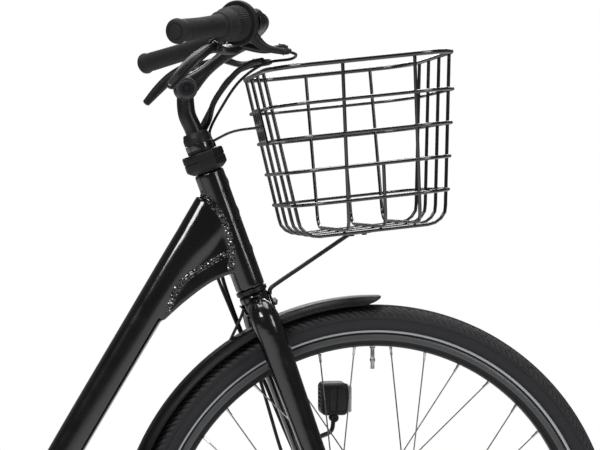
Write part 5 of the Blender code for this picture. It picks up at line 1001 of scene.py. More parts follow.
piece("handlebar_tube", handlebar(), "satin_metal", "bars", ["handlebar"], angle=60)
piece("right_grip_sleeve", grip(GRIP_RIGHT_Y, -1), "grip_rubber", "bars", ["grip_right"])
piece("left_grip_sleeve", grip(GRIP_LEFT_Y, 1), "grip_rubber", "bars", ["grip_left"])
piece("shifter_flange", shifter_housing(), "black_plastic", "bars", ["shifter_housing"],
      angle=60)
barrel = bar_length(BARREL_Y, GRIP_RIGHT_Y)
stations = [(BAR_SLEEVE_R, 0.0, 0), (SHIFTER_R - 0.0012, 0.0, 0), (SHIFTER_R, 0.0009, 0),
            (SHIFTER_R, 0.0026, 0),
            (SHIFTER_R - 0.0002, 0.0032, 0.001), (SHIFTER_R - 0.0013, barrel * 0.54, 0.001),
            (SHIFTER_R - 0.0018, barrel * 0.58, 0.0), (SHIFTER_R - 0.0034, barrel * 0.64, 0.0),
            (SHIFTER_R - 0.0046, barrel * 0.7, 0.0006), (GRIP_R + 0.0042, barrel * 0.92, 0.0006),
            (GRIP_R + 0.003, barrel - 0.001, 0.0), (GRIP_R + 0.0018, barrel - 0.0003, 0.0),
            (BAR_SLEEVE_R, barrel - 0.0003, 0.0)]
piece("shifter_barrel", toothed(stations, bar_at(BARREL_Y), bar_at(GRIP_RIGHT_Y) - bar_at(BARREL_Y), 44, 6),
      "grip_rubber", "shifter", ["twist_shifter"], angle=50)
adjusters = adjuster(rel(-0.1512, 1.0655, -0.1605), Vector((0.0071, -0.0006, 0.0006)))
screws = []
for side, tag, body, run in ((-1, "right", "right_lever", (0.028, 0.0014, -0.0009)),
                             (1, "left", "left_lever", (0.028, 0.0009, 0.0014))):
    piece(tag + "_lever_casting", lever_bracket(side), "satin_metal", "bars",
          ["lever_bracket_" + tag], angle=60)
    piece(tag + "_lever_blade", lever_blade(side), "satin_metal", body,
          ["brake_lever_" + tag], angle=50)
    adjusters += adjuster(flip(rel(-0.153, 1.0728, -0.1391), side), run)
    axis = lever_axis(side)
    root = below_bar(0.196, 0.0318, side)
    for hand in (1, -1):
        screws.append(lathe([(0, 0.0084), (0.0042, 0.0084), (0.0042, 0.01), (0.0034, 0.0108),
                             (0.0022, 0.0108),
                             (0.002, 0.0094), (0, 0.0094)], root, axis * hand, 24))
piece("cable_adjusters", gathered(adjusters), "black_plastic", "bars", angle=30)
piece("lever_screws", gathered(screws), "dark_metal", "bars", angle=30)


# Collars and cables

LOW_COLLAR_R, UP_COLLAR_R, BAND_Z = 0.0315, 0.0198, 0.943


def cable(points, radius, wrap=0.0):
    """A cable along its points, with a spiral wrapping of the given pitch where there is one."""
    path = smooth_path(points, 40 if wrap else 10)
    if not wrap:
        return sweep(path, radius, 16)
    run, rings, side = 0.0, [], Vector((0, 1, 0))
    for i, p in enumerate(path):
        tangent = (path[min(i + 1, len(path) - 1)] - path[max(i - 1, 0)]).normalized()
        side = (side - tangent * side.dot(tangent)).normalized()
        normal = tangent.cross(side)
        if i:
            run += (p - path[i - 1]).length
        ring = []
        for k in range(20):
            phase = (run / wrap + k / 20) % 1.0
            lift = 0.0 if phase < 0.12 else 0.00042
            a = 2 * pi * k / 20
            ring.append(p + (side * cos(a) + normal * sin(a)) * (radius + lift - 0.0003))
        rings.append(ring)
    return loft(rings)


def into_port(points, ahead, y, rise):
    """A cable's route from the bar, ending straight down into its port in the lower collar's top."""
    end = steer_point(LOW_COLLAR_TOP_Z, ahead, y) + STEER_DIR * 0.0006
    return [rel(*p) for p in points] + [end + STEER_DIR * rise, end + STEER_DIR * 0.004, end]


bundle = into_port([(-0.177, 1.055, -0.137), (-0.189, 1.053, -0.115), (-0.204, 1.044, -0.088),
                    (-0.22, 1.024, -0.056), (-0.232, 1.002, -0.028), (-0.235, 0.98, 0.006)],
                   0.01, 0.0225, 0.02)
shift = into_port([(-0.142, 1.0648, -0.16), (-0.133, 1.062, -0.15), (-0.137, 1.058, -0.125),
                   (-0.168, 1.054, -0.09), (-0.198, 1.032, -0.054), (-0.22, 0.996, -0.018)],
                  0.0222, 0.011, 0.023)
left_brake = into_port([(-0.1392, 1.0749, 0.1403), (-0.129, 1.074, 0.13), (-0.136, 1.068, 0.108),
                        (-0.17, 1.06, 0.085), (-0.203, 1.04, 0.062), (-0.231, 0.995, 0.042)],
                       -0.003, 0.0247, 0.016)
front_brake = [rel(-0.229, 0.776, 0.0205), rel(-0.217, 0.745, 0.024), rel(-0.193, 0.69, 0.038),
               rel(-0.159, 0.6086, 0.04), rel(-0.127, 0.5027, 0.042), rel(-0.106, 0.455, 0.042),
               rel(-0.085, 0.43, 0.0405), rel(-0.08, HUB_Z + 0.061, 0.04)]
motor = [rel(-0.22, 0.787, 0.022), rel(-0.209, 0.745, 0.045), rel(-0.18, 0.67, 0.068),
         rel(-0.15, 0.6056, 0.07), rel(-0.104, 0.4985, 0.074), rel(-0.07, 0.435, 0.0762),
         rel(-0.035, 0.38, 0.081), rel(-0.012, 0.363, 0.081), rel(-0.001, HUB_Z, 0.077),
         rel(0, HUB_Z, 0.071), rel(0, HUB_Z, 0.0663)]
for name, points, last, bodies, radius, wrap in (
        ("cable_bundle", bundle, -1, ("bars", "steering"), 0.004, 0.0042),
        ("shift_cable", shift, -1, ("bars", "steering"), 0.002, 0),
        ("left_brake_cable", left_brake, -1, ("bars", "steering"), 0.0025, 0),
        ("front_brake_cable", front_brake, 3, ("frame", "steering"), 0.0025, 0),
        ("motor_cable", motor, 3, ("frame", "steering"), 0.0028, 0)):
    piece(name + "_sleeve", cable(points, radius, wrap), "cable_rubber",
          (bodies[0], bodies[1], points[0], points[last]), [name], angle=60)

low = steer_point(0.9073)
rise = (LOW_COLLAR_TOP_Z - 0.9073) / STEER_DIR.z
collar = [(0.015, 0.0), (HEAD_R + 0.001, 0.0), (LOW_COLLAR_R - 0.0022, 0.0045),
          (LOW_COLLAR_R - 0.0006, 0.0062),
          (LOW_COLLAR_R, 0.0085), (LOW_COLLAR_R, rise * 0.56), (LOW_COLLAR_R - 0.001, rise * 0.585),
          (LOW_COLLAR_R - 0.001, rise * 0.615), (LOW_COLLAR_R, rise * 0.64), (LOW_COLLAR_R, rise - 0.003),
          (LOW_COLLAR_R - 0.0008, rise - 0.0008), (LOW_COLLAR_R - 0.0028, rise), (0.015, rise)]
piece("cable_collar_shell", lathe(collar, low, STEER_DIR, 8, start=pi / 8), "black_plastic", "frame",
      ["cable_collar"], angle=24, edge=0.0012)
low = steer_point(LOW_COLLAR_TOP_Z + 0.0003)
rise = (UP_COLLAR_TOP_Z - LOW_COLLAR_TOP_Z) / STEER_DIR.z
band = (BAND_Z - LOW_COLLAR_TOP_Z) / STEER_DIR.z
collar = [(STEM_R + 0.0003, 0.0), (UP_COLLAR_R - 0.0008, 0.0), (UP_COLLAR_R, 0.0008),
          (UP_COLLAR_R, band - 0.0046),
          (UP_COLLAR_R - 0.003, band - 0.0046), (UP_COLLAR_R - 0.003, band + 0.0046),
          (UP_COLLAR_R, band + 0.0046),
          (UP_COLLAR_R, rise - 0.008), (UP_COLLAR_R - 0.0006, rise - 0.0066),
          (UP_COLLAR_R - 0.0022, rise - 0.0016),
          (UP_COLLAR_R - 0.0036, rise - 0.0003), (STEM_R + 0.0003, rise - 0.0003)]
piece("stem_collar_shell", lathe(collar, low, STEER_DIR, 56), "black_plastic", "steering",
      ["stem_collar"], angle=30)


# Mudguards


def guard_width(t, length):
    """Share of the full width at a distance along from the start: both ends are rounded."""
    near = min(t, length - t)
    if near > 0.03:
        return 1.0
    f = max(0.0, near / 0.03)
    return 0.3 + 0.7 * (1 - (1 - f) ** 2.4) ** (1 / 2.4)


def guard_lip(t, length):
    """Share of the full turned-down height, which runs out to nothing at the ends."""
    f = min(1.0, min(t, length - t) / 0.034)
    return 0.1 + 0.9 * (1 - (1 - f) ** 2.0)


def mudguard(hub_x, first, last):
    """Thin shell, arched across and turned down along both edges."""
    steps = 150
    wall = 0.0015
    across = [-1 + 2 * k / 20 for k in range(21)]
    rings = []
    start, end = radians(first), radians(last)
    length = (end - start) * GUARD_R
    for k in range(steps + 1):
        f = k / steps
        f = f - sin(2 * pi * f) / (2 * pi) * 0.85
        a = start + (end - start) * f
        share = guard_width(f * length, length)
        half = GUARD_HALF_W * share
        lip = GUARD_LIP_H * guard_lip(f * length, length)
        ring = []
        for sign, edge in ((1, 0.0), (-1, wall)):
            for u in across[::sign]:
                r = GUARD_SKIN_R - edge - lip * (0.09 * u * u + 0.91 * abs(u) ** 5)
                ring.append(around(hub_x, r, a, u * (half - edge * 0.6)))
        rings.append(ring)
    return loft(rings)


def guard_beads(hub_x, first, last):
    """Rolled beads along both edges."""
    start, end = radians(first), radians(last)
    length = (end - start) * GUARD_R
    beads = []
    for side in (1, -1):
        path = []
        for k in range(121):
            f = 0.012 + 0.976 * k / 120
            share = guard_width(f * length, length)
            a = start + (end - start) * f
            r = GUARD_SKIN_R - GUARD_LIP_H * guard_lip(f * length, length)
            path.append(around(hub_x, r, a, side * (GUARD_HALF_W * share - 0.0008)))
        beads.append(sweep(path, 0.0013, 8))
    return beads


def guard_stay(hub_x, angle, foot_y):
    a = radians(angle)
    wide = GUARD_HALF_W + 0.0025
    crown = GUARD_R - GUARD_DROP * GUARD_LIP_H
    foot = Vector((hub_x, foot_y, HUB_Z - STAY_DROP))
    points = [foot, foot + Vector((cos(a) * 0.03, -0.001, sin(a) * 0.03))]
    for y, r in ((wide + 0.0032, GUARD_EDGE_R - 0.014), (wide - 0.0008, GUARD_EDGE_R + 0.002),
                 (wide * 0.8, crown + 0.0004), (wide * 0.45, crown + 0.001)):
        points.append(around(hub_x, r, a, y))
    points.append(around(hub_x, crown + 0.0014, a))
    back = mirrored(reversed(points[:-1]))
    return sweep(smooth_path(points + back, 6), 0.0024, 14, up=Vector((0, 0, 1)))


def stay_eye(hub_x, y):
    return lathe([(0, -0.003), (0.0058, -0.003), (0.0062, -0.0026), (0.0062, 0.002), (0.0054, 0.003),
                  (0, 0.003)], (hub_x, y, HUB_Z - STAY_DROP), steps=28)


def guard_clip(hub_x, angle):
    """Two rivets that hold the stay on the crown."""
    a = radians(angle)
    out = Vector((cos(a), 0, sin(a)))
    along = Vector((-sin(a), 0, cos(a)))
    centre = Vector((hub_x, 0, HUB_Z)) + out * (GUARD_R - 0.0002)
    parts = []
    for side in (1, -1):
        spot = centre + Vector((0, side * 0.007, 0)) + along * 0.0062
        parts.append(lathe([(0, 0.0), (0.0032, 0.0), (0.003, 0.0012), (0.0018, 0.0018), (0, 0.002)], spot,
                           out, 18))
    return parts


fork_foot, rear_foot = 0.0591, 0.0766
front_tab = [steer_point(0.7135, -0.0226) + STEER_DIR * 0.01, steer_point(0.7135, -0.0226),
             rel(-0.2055, 0.6668)]
for name, hub_x, span, stay, foot_y, body in (("front", XF, (88.4, 206), 192, fork_foot, "steering"),
                                              ("rear", XR, (3, 208), 196, rear_foot, "frame")):
    shell = gathered([mudguard(hub_x, *span)] + guard_beads(hub_x, *span))
    piece(name + "_mudguard_shell", shell, "guard_paint", body, [name + "_mudguard"], angle=50,
          slot="frame_paint")
    fittings = [guard_stay(hub_x, stay, foot_y)] + guard_clip(hub_x, stay)
    fittings += [stay_eye(hub_x, side * foot_y) for side in (1, -1)]
    if name == "front":
        fittings.append(sweep(smooth_path(front_tab, 5), 0.0085, 20, [0.0013] * 11, 5.0))
    piece(name + "_mudguard_stay", gathered(fittings), "satin_metal", body, angle=40)


# Headlight, brake disc and caliper

LAMP_LOW, LAMP_HIGH = rel(-0.064, 0.549, 0.058), rel(-0.024, 0.597, 0.102)


def rounded_panel(low, high, corner, y_low, y_high):
    """Plate with rounded corners, in the lamp's side plane."""
    outline = []
    for cx, cz, first in ((high.x, high.z, 0), (low.x, high.z, 90), (low.x, low.z, 180),
                          (high.x, low.z, 270)):
        mid_x = cx - corner if cx == high.x else cx + corner
        mid_z = cz - corner if cz == high.z else cz + corner
        for k in range(7):
            a = radians(first + 15 * k)
            outline.append((mid_x + corner * cos(a), mid_z + corner * sin(a)))
    return slab(outline, y_low, y_high)


def headlight():
    """Moulded lamp body with a recess in both sides and cooling slots in its back."""
    body = block(LAMP_LOW, LAMP_HIGH, 0.0075, 5)
    low = Vector((LAMP_LOW.x + 0.011, 0, LAMP_LOW.z + 0.006))
    high = Vector((LAMP_HIGH.x - 0.003, 0, LAMP_HIGH.z - 0.006))
    for span in ((LAMP_LOW.y - 0.002, LAMP_LOW.y + 0.0016), (LAMP_HIGH.y - 0.0016, LAMP_HIGH.y + 0.002)):
        body = carved(body, rounded_panel(low, high, 0.006, *span))
    for k in range(5):
        z = LAMP_LOW.z + 0.012 + 0.006 * k
        body = carved(body, block((LAMP_LOW.x - 0.002, LAMP_LOW.y + 0.01, z),
                                  (LAMP_LOW.x + 0.0024, LAMP_HIGH.y - 0.01, z + 0.0026)))
    return body


def lamp_fittings():
    """Knuckle under the lamp with its thumb wheel, two lugs and the arm to the fork."""
    knuckle = Vector((LAMP_LOW.x + 0.02, 0.074, LAMP_LOW.z - 0.004))
    root = steer_point(0.505, 0.0155 + 0.0042, 0.052)
    parts = []
    for k in range(3):
        y = knuckle.y - 0.0075 + 0.005 * k
        parts.append(lathe(disc(0.0066, y, y + 0.0034, 0.0005), Vector((knuckle.x, 0, knuckle.z)), steps=32))
    parts.append(toothed([(0.001, -0.0106, 0), (0.0052, -0.0106, 0.0006), (0.0052, -0.008, 0.0006),
                          (0.001, -0.008, 0)], knuckle, (0, 1, 0), 14, 4))
    arm = [root, root + Vector((0.006, 0.012, 0.006)), Vector((knuckle.x - 0.004, 0.073, knuckle.z - 0.02)),
           Vector((knuckle.x, 0.074, knuckle.z - 0.002))]
    parts.append(sweep(smooth_path(arm, 6), 0.0055, 24, [0.003] * 19, 3.5))
    for y in (0.068, 0.08):
        parts.append(sweep([Vector((knuckle.x, y, knuckle.z)), Vector((knuckle.x, y, LAMP_LOW.z + 0.004))],
                           0.0022, 12, [0.0052] * 2, 4.0))
    return gathered(parts)


def brake_rotor():
    """Brake disc: a drilled, scalloped track on six leaning arms."""
    y_low, y_high = ROTOR_Y - ROTOR_HALF_T, ROTOR_Y + ROTOR_HALF_T
    ring = [(0.074 + 0.0006 * sin(k * pi / 4), k) for k in range(180)]
    outer = [((0.09 - 0.0012 * (0.5 - 0.5 * cos(2 * pi * k / 12))), k) for k in range(180)]
    rings = []
    for radii, y in ((outer, y_low), (outer, y_high), (ring, y_high), (ring, y_low)):
        rings.append([around(XF, r, radians(2 * k), y) for r, k in radii])
    track = loft(rings, closed=True)
    holes = []
    for k in range(48):
        a = radians(7.5 * k)
        r = (0.0785, 0.082, 0.0855)[k % 3]
        holes.append(lathe(disc(0.0019, y_low - 0.001, y_high + 0.001),
                           around(XF, r, a), steps=12))
    track = carved(track, gathered(holes))
    arms = [track,
            lathe([(0.017, y_low), (0.029, y_low), (0.029, y_high), (0.017, y_high)], (XF, 0, HUB_Z),
                  steps=48)]
    for k in range(6):
        a, b = radians(60 * k), radians(60 * k + 24)
        points = [around(XF, r, c, ROTOR_Y)
                  for r, c in ((0.028, a), (0.05, (a + b) / 2 - 0.05), (0.0755, b))]
        arms.append(sweep(smooth_path(points, 6), 0.0009, 8, smooth_values([0.0058, 0.0034, 0.005], 6), 6.0))
        arms.append(lathe(disc(0.0036, y_high, y_high + 0.0012, 0.0004),
                          around(XF, 0.023, a), steps=14))
    return gathered(arms)


piece("headlight_housing", headlight(), "black_plastic", "steering", ["headlight"], angle=40)
piece("headlight_bracket", lamp_fittings(), "black_plastic", "steering", angle=40)
smoked = []
for y in (LAMP_LOW.y + 0.0011, LAMP_HIGH.y - 0.0021):
    low = Vector((LAMP_LOW.x + 0.012, 0, LAMP_LOW.z + 0.007))
    high = Vector((LAMP_HIGH.x - 0.004, 0, LAMP_HIGH.z - 0.007))
    smoked.append(rounded_panel(low, high, 0.0055, y, y + 0.001))
piece("headlight_side_windows", gathered(smoked), "frame_paint", "steering", angle=40, edge=0.0004,
      slot="black_plastic")
piece("front_rotor", brake_rotor(), "bright_steel", "front_wheel", ["front_brake_disc"], angle=30)


# Basket

BASKET_TILT, BASKET_TAPER = radians(6.0), radians(7.4)
BASKET_LEN, BASKET_WIDTH, BASKET_CORNER = 0.262, 0.32, 0.06
BASKET_FIRST, BASKET_STEP = 0.051, 0.0457
BASKET_DEPTH = BASKET_FIRST + 4 * BASKET_STEP
RIM_WIRE_R, WIRE_R = 0.0034, 0.0025


def basket_point(x, y, z):
    """A point in the tilted basket's own axes, from the middle of its rim."""
    x_axis = Vector((cos(BASKET_TILT), 0, sin(BASKET_TILT)))
    z_axis = Vector((-sin(BASKET_TILT), 0, cos(BASKET_TILT)))
    return rel(-0.0405, 1.0568) + x_axis * x + Vector((0, y, 0)) + z_axis * z


def basket_wires():
    """Rim, hoops and uprights, all of bent wire."""
    narrow, bend = tan(BASKET_TAPER), 0.024
    bms = []

    def ring(level, out, radius):
        inset = level * narrow
        half_x = BASKET_LEN / 2 - inset + out
        half_y = BASKET_WIDTH / 2 - inset + out
        corner = BASKET_CORNER - inset * 0.4 + out
        path = []
        for cx, cy, first in ((1, 1, 0), (-1, 1, 90), (-1, -1, 180), (1, -1, 270)):
            for k in range(7):
                a = radians(first + 15 * k)
                path.append(basket_point(cx * (half_x - corner) + corner * cos(a),
                                         cy * (half_y - corner) + corner * sin(a), -level))
        return sweep(path, radius, 12, up=Vector((-sin(BASKET_TILT), 0, cos(BASKET_TILT))), closed=True)

    def wall(half_top, start):
        points = [(half_top - start * narrow, start)]
        low = BASKET_DEPTH - bend
        points.append((half_top - low * narrow, low))
        foot = half_top - BASKET_DEPTH * narrow
        for k in (1, 2, 3, 4):
            a = radians(22.5 * k)
            points.append((foot - bend * (1 - cos(a)) + 0.001 * (4 - k), low + bend * sin(a)))
        return points

    bms.append(ring(0.0, 0.0, RIM_WIRE_R))
    for k in range(4):
        bms.append(ring(BASKET_FIRST + BASKET_STEP * k, 2 * WIRE_R - 0.0007, WIRE_R))
    for y in (-0.095, -0.033, 0.033, 0.095):
        half = wall(BASKET_LEN / 2, -0.0005)
        path = [basket_point(-o, y, -d) for o, d in half] + [basket_point(o, y, -d) for o,
                                                             d in reversed(half)]
        bms.append(sweep(path, WIRE_R, 12))
    drop = WIRE_R * 2 - 0.0007
    for x, level in ((-0.031, -0.0005), (0.02, BASKET_FIRST + 2 * BASKET_STEP), (0.068, -0.0005)):
        half = [(o, d - drop * max(0.0, (d - BASKET_DEPTH + bend) / bend) ** 2)
                for o, d in wall(BASKET_WIDTH / 2, level)]
        shift = [0.01 * (1 - d / BASKET_DEPTH) - 0.01 for o, d in half]
        path = [basket_point(x + s, -o, -d) for (o, d), s in zip(half, shift)]
        path += [basket_point(x + s, o, -d) for (o, d), s in reversed(list(zip(half, shift)))]
        bms.append(sweep(path, WIRE_R, 12, up=Vector((1, 0, 0))))
    return gathered(bms)


piece("basket_wires", basket_wires(), "basket_paint", "steering", ["wire_basket"], angle=60)


# Basket mounts

STRUT_BOLT_Z, TAB_MID, TAB_HALF = 0.713, 0.02255, 0.00125


def basket_strut():
    """Flat tab on the crown bolt, the rod up to the basket and its clamp plate under the floor."""
    z = STRUT_BOLT_Z
    tab = sweep([steer_point(z - 0.0085, TAB_MID), steer_point(z + 0.0165, TAB_MID)], 0.007, 28,
                [TAB_HALF] * 2, 5.0)
    level = -BASKET_DEPTH - WIRE_R - 0.0003
    end = basket_point(-0.018, 0, level - 0.0024)
    rod = smooth_path([steer_point(z + 0.011, TAB_MID), rel(-0.1478, 0.7392), rel(-0.14, 0.7462),
                       rel(-0.14, 0.7462).lerp(end, 0.35), rel(-0.14, 0.7462).lerp(end, 0.7), end], 6)
    corners = [basket_point(x, 0, level - d) for x, d in ((-0.027, 0.0), (0.006, 0.0), (0.006, 0.0025),
                                                          (-0.027, 0.0025))]
    parts = [tab, sweep(rod, 0.0031, 16), slab([(p.x, p.z) for p in corners], -0.04, 0.04)]
    for y in (-0.03, 0.03):
        for x in (-0.02, -0.002):
            parts.append(lathe(disc(0.0036, -0.0022, 0.0, 0.0004), basket_point(x, y, level - 0.0025),
                               (-sin(BASKET_TILT), 0, cos(BASKET_TILT)), 18))
    return gathered(parts)


def basket_brace():
    """Band round the stem's collar, a bent wire and the slotted plate on the basket's back."""
    level = BASKET_FIRST + BASKET_STEP / 2
    out = 3 * WIRE_R - 0.0007 + 0.0003

    def wall(down, y=0.0, off=0.0):
        return basket_point(-(BASKET_LEN / 2 - down * tan(BASKET_TAPER)) - out - off, y, -down)

    corners = [wall(level + d, 0, t) for d,
               t in ((-0.026, 0.0), (0.026, 0.0), (0.026, 0.003), (-0.026, 0.003))]
    plate = slab([(p.x, p.z) for p in corners], -0.038, 0.038)
    slots = []
    for y in (-0.026, -0.009, 0.009, 0.026):
        for down in (level - 0.0135, level + 0.0135):
            slots.append(sweep([wall(down, y, -0.004), wall(down, y, 0.007)], 0.0058, 20, [0.0078] * 2, 3.5))
    parts = [carved(plate, gathered(slots))]
    half = 0.004 / STEER_DIR.z
    parts.append(lathe([(UP_COLLAR_R - 0.0026, -half), (UP_COLLAR_R, -half), (UP_COLLAR_R + 0.0003, 0),
                        (UP_COLLAR_R, half), (UP_COLLAR_R - 0.0026, half)], steer_point(BAND_Z), STEER_DIR,
                        48))
    rod = smooth_path([steer_point(BAND_Z, UP_COLLAR_R - 0.0015), rel(-0.201, 0.9638),
                       wall(level, 0, 0.0015)], 10)
    parts.append(sweep(rod, 0.002, 14))
    for y in (-0.019, 0.019):
        parts.append(lathe([(0, 0.0028), (0.0042, 0.0028), (0.0042, 0.0046), (0.0034, 0.0054), (0, 0.0056)],
                           wall(level, y), (-cos(BASKET_TILT), 0, -sin(BASKET_TILT)), 20))
    return gathered(parts)


piece("basket_strut_rod", basket_strut(), "satin_metal", "steering", ["basket_strut"],
      angle=40, edge=0.0004)
piece("basket_brace_plate", basket_brace(), "basket_paint", "steering", ["basket_brace"],
      angle=40, edge=0.0004, slot="satin_metal")
nut = [(0, 0.0), (0.0064, 0.0), (0.0064, 0.0036), (0.0056, 0.0045), (0.003, 0.0045), (0.0028, 0.0062),
       (0, 0.0064)]
piece("strut_bolt_head",
      lathe(nut, steer_point(STRUT_BOLT_Z, 0.0241), (cos(STEER_LEAN), 0, sin(STEER_LEAN)), 6),
      "bright_steel", "steering", ["strut_bolt"], angle=25, edge=0.0004)


# Carrier, battery and chain case

CARRIER_Z, CARRIER_HALF_W, CARRIER_R, CARRIER_FRONT_X, CARRIER_TAIL_X = 0.8, 0.065, 0.006, -0.38, -0.943


def bent(points, reach):
    """Straight runs between the points, with each corner rounded over the given reach."""
    points = [Vector(p) for p in points]
    out = [points[0]]
    for before, corner, after in zip(points, points[1:], points[2:]):
        near = min(reach, (before - corner).length * 0.45, (after - corner).length * 0.45)
        a = corner + (before - corner).normalized() * near
        b = corner + (after - corner).normalized() * near
        for k in range(7):
            t = k / 6
            out.append(a * (1 - t) ** 2 + corner * (2 * t * (1 - t)) + b * t * t)
    out.append(points[-1])
    return out


def carrier():
    bend, tail, half = 0.03, CARRIER_TAIL_X, CARRIER_HALF_W
    side = [seat_point(0.649, 0.013) - Vector((0.028, 0, 0)), Vector((-0.242, 0.023, 0.685)),
            Vector((-0.305, 0.045, 0.762)), Vector((CARRIER_FRONT_X + 0.03, half - 0.006, 0.7935)),
            Vector((CARRIER_FRONT_X - 0.01, half, CARRIER_Z)), Vector((tail, half, CARRIER_Z))]
    up = Vector((0, 0, 1))
    parts = [sweep(bent(side + list(reversed(mirrored(side))), bend), CARRIER_R, 20, up=up)]
    for x in (-0.44, -0.6, -0.76):
        parts.append(sweep([(x, -half, CARRIER_Z + 0.001), (x, half, CARRIER_Z + 0.001)], 0.0045, 16, up=up))
    for y in (-0.024, 0.024):
        parts.append(sweep([(-0.44, y, CARRIER_Z + 0.001), (tail, y, CARRIER_Z)], 0.004, 16))
    for hand in (1, -1):
        foot_y = 0.078
        rear = [(XR - 0.013, hand * foot_y, HUB_Z + 0.022), (XR - 0.016, hand * foot_y, HUB_Z + 0.05),
                (XR - 0.06, hand * (half + 0.007), 0.68), (XR - 0.072, hand * half, CARRIER_Z - 0.001)]
        fore = [(XR - 0.013, hand * foot_y, HUB_Z + 0.03), (XR + 0.01, hand * (foot_y + 0.0015), 0.47),
                (XR + 0.07, hand * (half + 0.006), 0.68), (XR + 0.085, hand * half, CARRIER_Z - 0.001)]
        for leg, radius in ((rear, 0.005), (fore, 0.0045)):
            route = bent(leg, 0.03)
            grown = [min(1.0, i / 6) for i in range(len(route))]
            parts.append(sweep(route, [0.0035 + (radius - 0.0035) * g for g in grown], 16,
                               [0.0062 + (radius - 0.0062) * g for g in grown]))
        parts.append(lathe([(0, 0.0), (0.0068, 0.0), (0.0068, 0.0034), (0.0058, 0.0042), (0.0034, 0.0042),
                            (0.003, 0.0022), (0, 0.0022)],
                            (XR - 0.013, hand * (foot_y + 0.0032), HUB_Z + 0.026),
                           (0, hand, 0), 6))
    return gathered(parts)


def node_box(name):
    node = frame["nodes"][name]
    corners = [node.matrix_world @ Vector(c) for c in node.bound_box]
    return (Vector([min(c[i] for c in corners) for i in range(3)]),
            Vector([max(c[i] for c in corners) for i in range(3)]))


def battery_shell():
    """Moulded pack with three flutes along each side and a hand recess in its tail."""
    low, high = node_box("battery")
    body = block(low, high, 0.0085, 5)
    mid = (low + high) / 2
    tools = [block((low.x - 0.03, -0.03, low.z + 0.016), (low.x + 0.016, 0.03, high.z - 0.013), 0.004)]
    for side in (low.y, high.y):
        for z in (mid.z - 0.011, mid.z, mid.z + 0.011):
            tools.append(sweep([(low.x + 0.055, side, z), (high.x - 0.04, side, z)], 0.0016, 12,
                               up=Vector((0, 0, 1))))
    for tool in tools:
        body = carved(body, tool)
    return body


def case_trim():
    """Raised bead near the chain case's edge and a second one round the crank."""
    face_y = -0.082
    parts = []
    for inset, radius in ((0.005, 0.0017), (0.02, 0.0012)):
        front_r, rear_r = 0.098 - inset, 0.06 - inset
        centre_f, centre_r = Vector((XB, 0, BB_Z)), Vector((XR, 0, HUB_Z))
        span = centre_f - centre_r
        tilt = atan(span.z / span.x)
        lean = asin((front_r - rear_r) / span.length)
        path = [centre_r + Vector((cos(tilt + pi / 2 + lean), 0, sin(tilt + pi / 2 + lean))) * rear_r]
        first, last = tilt + pi / 2 + lean, tilt - pi / 2 - lean
        for k in range(41):
            a = first + (last - first) * k / 40
            path.append(centre_f + Vector((cos(a), 0, sin(a))) * front_r)
        path.append(centre_r + Vector((cos(last), 0, sin(last))) * rear_r)
        start = path[1].lerp(path[0], 0.86)
        end = path[-2].lerp(path[-1], 0.86)
        route = [Vector((p.x, face_y, p.z)) for p in [start] + path[1:-1] + [end]]
        parts.append(sweep(route, radius, 12))
    ring = [(0.025, 0.0), (0.03, 0.0), (0.03, -0.001), (0.029, -0.0018), (0.026, -0.0018), (0.025, -0.001)]
    parts.append(lathe(ring, (XB, face_y, BB_Z), steps=56))
    for x, z in ((XR + 0.22, BB_Z + 0.034), (XR + 0.29, BB_Z + 0.0226)):
        parts.append(lathe([(0, 0.0), (0.0044, 0.0), (0.0042, 0.0014), (0.003, 0.002), (0, 0.0021)],
                           (x, face_y, z), (0, -1, 0), 20))
    return gathered(parts)


piece("carrier_tubes", carrier(), "satin_metal", "frame", ["rear_carrier"], angle=50)
piece("battery_case", battery_shell(), "black_plastic", "battery_pack", ["battery"], angle=40)
piece("chain_case_trim", case_trim(), "black_plastic", "frame", angle=40)


# Saddle

SADDLE_NOSE_X = -0.14
SADDLE_STATIONS = [(0.0, 0.012, 0.944, 0.938), (0.012, 0.022, 0.953, 0.9335), (0.06, 0.028, 0.96, 0.932),
                   (0.11, 0.038, 0.9625, 0.932), (0.15, 0.056, 0.964, 0.933), (0.185, 0.08, 0.969, 0.935),
                   (0.215, 0.098, 0.976, 0.938), (0.24, 0.105, 0.981, 0.941), (0.256, 0.098, 0.98, 0.946),
                   (0.265, 0.078, 0.97, 0.954)]


def saddle_cover():
    """Padded cover, crowned on both sides of a shallow middle channel."""
    back, half, top, low = [smooth_values([s[i] for s in SADDLE_STATIONS], 5) for i in range(4)]
    rings = []
    for b, h, t, l in zip(back, half, top, low):
        ring = []
        for k in range(33):
            a = pi * k / 32
            across = abs(cos(a)) ** 0.75 * (1 if cos(a) >= 0 else -1)
            rise = max(0.0, sin(a)) ** 0.7
            dip = 0.0065 * max(0.0, 1 - 2.6 * abs(across)) ** 1.5 * min(1.0, b / 0.1)
            tuck = 0.003 * max(0.0, 1 - abs(rise - 0.16) / 0.14) * min(1.0, b / 0.03)
            ring.append(Vector((SADDLE_NOSE_X - b, (h - tuck) * across, l + (t - l) * rise - dip)))
        for k in range(1, 8):
            ring.append(Vector((SADDLE_NOSE_X - b, -h * 0.99 + 2 * h * 0.99 * k / 8, l)))
        rings.append(ring)
    return loft(rings)


